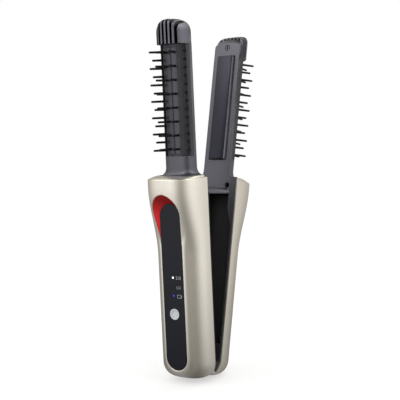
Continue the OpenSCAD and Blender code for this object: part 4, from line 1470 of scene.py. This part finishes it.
CAMERA_AT = Vector((0.412596, -0.569047, 0.193433))
CAMERA_AIM = Vector((0.012745, 0.002, 0.12999))
CAMERA_ROLL = math.radians(2.578)
CAMERA_LENS = 87.34
LAMP_AIM = Vector((0, 0, 0.13))
FLOOR = -0.0032
FLOOR_HALF = 6.0

# Soft surround that only reflections see: its size, the hole in its cards, and its tone
# by direction, in degrees from the front towards the right
SURROUND_R = 0.5
SURROUND_LOW = FLOOR + 0.0004
SURROUND_HIGH = 1.1
CARD_HOLE = 0.002
SURROUND = (
    (-180, 0.42), (-150, 0.36), (-122, 0.34), (-92, 0.40), (-70, 0.54), (-48, 0.84),
    (-24, 1.10), (-4, 1.02), (14, 0.70), (32, 0.42), (50, 0.32), (64, 0.40), (80, 0.66),
    (98, 0.98), (114, 1.10), (130, 0.96), (146, 0.70), (163, 0.46), (180, 0.42))


def surround_tone(name, least=0.12, outer=0.74, upper=0.18, gleam=2.3, gleam_at=0.68,
                  gleam_wide=0.16, dim_from=0.8, dimmed=0.7):
    """Glow toned by direction, warmer where darker, faint low down and bright high up."""
    f = Finish(name)
    x, y, z = (f.axis(axis) for axis in "XYZ")
    turn = x.maths("ARCTAN2", y * -1.0) / (2 * math.pi) + 0.5
    ring = f.node("ShaderNodeValToRGB", {"stops": [
        ((azimuth + 180) / 360,
         (tone, tone * (0.94 + tone * 0.05), tone * (0.80 + tone * 0.18), 1))
        for azimuth, tone in SURROUND]}, {0: turn})
    far = (((x * x + y * y) ** 0.5 / SURROUND_R) ** 0.5).clipped()
    lift = (z / 0.10).clipped()
    off = (z - gleam_at) / gleam_wide
    top = (off * off * -1.0).maths("EXPONENT") * gleam
    dim = ((z - dim_from) / 0.2).clipped() * -dimmed + 1.0
    fade = (least + far * outer + lift * upper) * dim + top
    return f.close(f.node("ShaderNodeEmission", None, {"Color": ring, "Strength": fade}))


def reflector(name, rings):
    """Round surface of the surround; the rings give radius and height."""
    card = new_piece(name, skinned(name, [
        [(r * math.sin(a), -r * math.cos(a), z) for a in circle(72)] for r, z in rings]))
    card.data.materials.append(surround_tone(name + "_tone"))
    card.visible_camera = False
    card.visible_shadow = False
    card.visible_diffuse = False
    card.visible_transmission = False


def soft_box(name, azimuth, height, radiance, distance=1.5, width=0.9, tall=1.1):
    """Rectangular lamp that faces the iron and isn't seen in reflections."""
    data = bpy.data.lights.new(name, "AREA")
    data.shape = "RECTANGLE"
    data.size = width
    data.size_y = tall
    data.energy = radiance * math.pi * width * tall
    lamp = bpy.data.objects.new(name, data)
    bpy.context.scene.collection.objects.link(lamp)
    a = math.radians(azimuth)
    lamp.location = (distance * math.sin(a), -distance * math.cos(a), height)
    lamp.rotation_mode = "QUATERNION"
    lamp.rotation_quaternion = (LAMP_AIM - lamp.location).to_track_quat("-Z", "Y")
    lamp.visible_glossy = False


def pale_floor(tone, paleness):
    """Floor that takes the iron's shadow and is whitened where it is seen."""
    floor = new_piece("floor", mesh_from("floor", [
        (x * FLOOR_HALF, y * FLOOR_HALF, FLOOR)
        for x, y in ((-1, -1), (1, -1), (1, 1), (-1, 1))], [(0, 1, 2, 3)]))
    f = Finish("pale_floor")
    speckle = f.noise(40.0, 2.0)
    colour = f.blend(speckle, (tone * 0.99,) * 3, (tone,) * 3)
    matt = f.node("ShaderNodeBsdfDiffuse", None, {"Color": colour})
    pale = f.node("ShaderNodeEmission", None, {
        "Color": (1, 1, 1, 1), "Strength": f.seen_directly() * paleness})
    floor.data.materials.append(
        f.close(f.node("ShaderNodeAddShader", None, {0: matt, 1: pale})))


def studio(strength):
    """White background that lights the iron with a strength of its own."""
    w = Shading(bpy.data.worlds.new("studio"))
    light, white = (
        w.node("ShaderNodeBackground", None, {"Color": (1, 1, 1, 1), "Strength": value})
        for value in (strength, 1.0))
    mix = w.node("ShaderNodeMixShader", None, {0: w.seen_directly(), 1: light, 2: white})
    return w.close(mix, "ShaderNodeOutputWorld")


def camera():
    """Camera of the main view, which is turned a little about its own axis."""
    data = bpy.data.cameras.new("camera")
    data.lens = CAMERA_LENS
    data.clip_start = 0.01
    view = bpy.data.objects.new("camera", data)
    bpy.context.scene.collection.objects.link(view)
    ahead = (CAMERA_AIM - CAMERA_AT).normalized()
    right = ahead.cross(Vector((0, 0, 1))).normalized()
    turn = Matrix((right, right.cross(ahead), -ahead)).transposed()
    turn = turn @ Matrix.Rotation(-CAMERA_ROLL, 3, "Z")
    view.matrix_world = Matrix.Translation(CAMERA_AT) @ turn.to_4x4()
    return view


class IRON_OT_stage(bpy.types.Operator):
    """Lays the floor, sets the lamps and the white background, and aims the camera"""
    bl_idname = "iron.stage"
    bl_label = "Stage"

    def execute(self, context):
        scene = context.scene
        s = scene.iron_stage
        pale_floor(s.floor, s.paleness)
        scene.world = studio(s.sky)
        soft_box("left_box", -38, 0.55, s.lamp)
        soft_box("right_box", 82, 0.45, s.lamp * 1.25)
        low, high = ((SURROUND_R, z) for z in (SURROUND_LOW, SURROUND_HIGH))
        reflector("surround", [low, high])
        reflector("base_card", [(CARD_HOLE, SURROUND_LOW), low])
        reflector("top_card", [(CARD_HOLE, SURROUND_HIGH), high])
        scene.camera = camera()
        scene.view_settings.view_transform = "Standard"
        return {"FINISHED"}


class IRON_PT_panel(bpy.types.Panel):
    """Lists the sizes, colours and pieces"""
    bl_idname = "IRON_PT_panel"
    bl_label = "Volumizing iron"
    bl_space_type = "VIEW_3D"
    bl_region_type = "UI"
    bl_category = "Iron"

    def draw(self, context):
        column = self.layout.column()
        for operator in OPERATORS:
            column.operator(operator.bl_idname)
        for name, _ in GROUPS:
            group = getattr(context.scene, name)
            box = self.layout.box()
            box.label(text=type(group).__doc__)
            for key in type(group).__annotations__:
                box.prop(group, key)


GROUPS = (
    ("iron_handle", IronHandleForm), ("iron_panel", IronPanelForm),
    ("iron_brush", IronBrushForm), ("iron_colours", IronColours),
    ("iron_stage", IronStage))
OPERATORS = (
    IRON_OT_shells, IRON_OT_recess, IRON_OT_panel, IRON_OT_controls, IRON_OT_frames,
    IRON_OT_barrels, IRON_OT_bristles, IRON_OT_screws, IRON_OT_plates, IRON_OT_inside,
    IRON_OT_stage)


def register():
    for name, group in GROUPS:
        bpy.utils.register_class(group)
        setattr(bpy.types.Scene, name, PointerProperty(type=group))
    for operator in OPERATORS:
        bpy.utils.register_class(operator)
    bpy.utils.register_class(IRON_PT_panel)


def unregister():
    bpy.utils.unregister_class(IRON_PT_panel)
    for operator in reversed(OPERATORS):
        bpy.utils.unregister_class(operator)
    for name, group in reversed(GROUPS):
        delattr(bpy.types.Scene, name)
        bpy.utils.unregister_class(group)


def main():
    register()
    for operator in OPERATORS:
        kind, _, action = operator.bl_idname.partition(".")
        getattr(getattr(bpy.ops, kind), action)()
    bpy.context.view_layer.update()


if __name__ == "__main__":
    main()
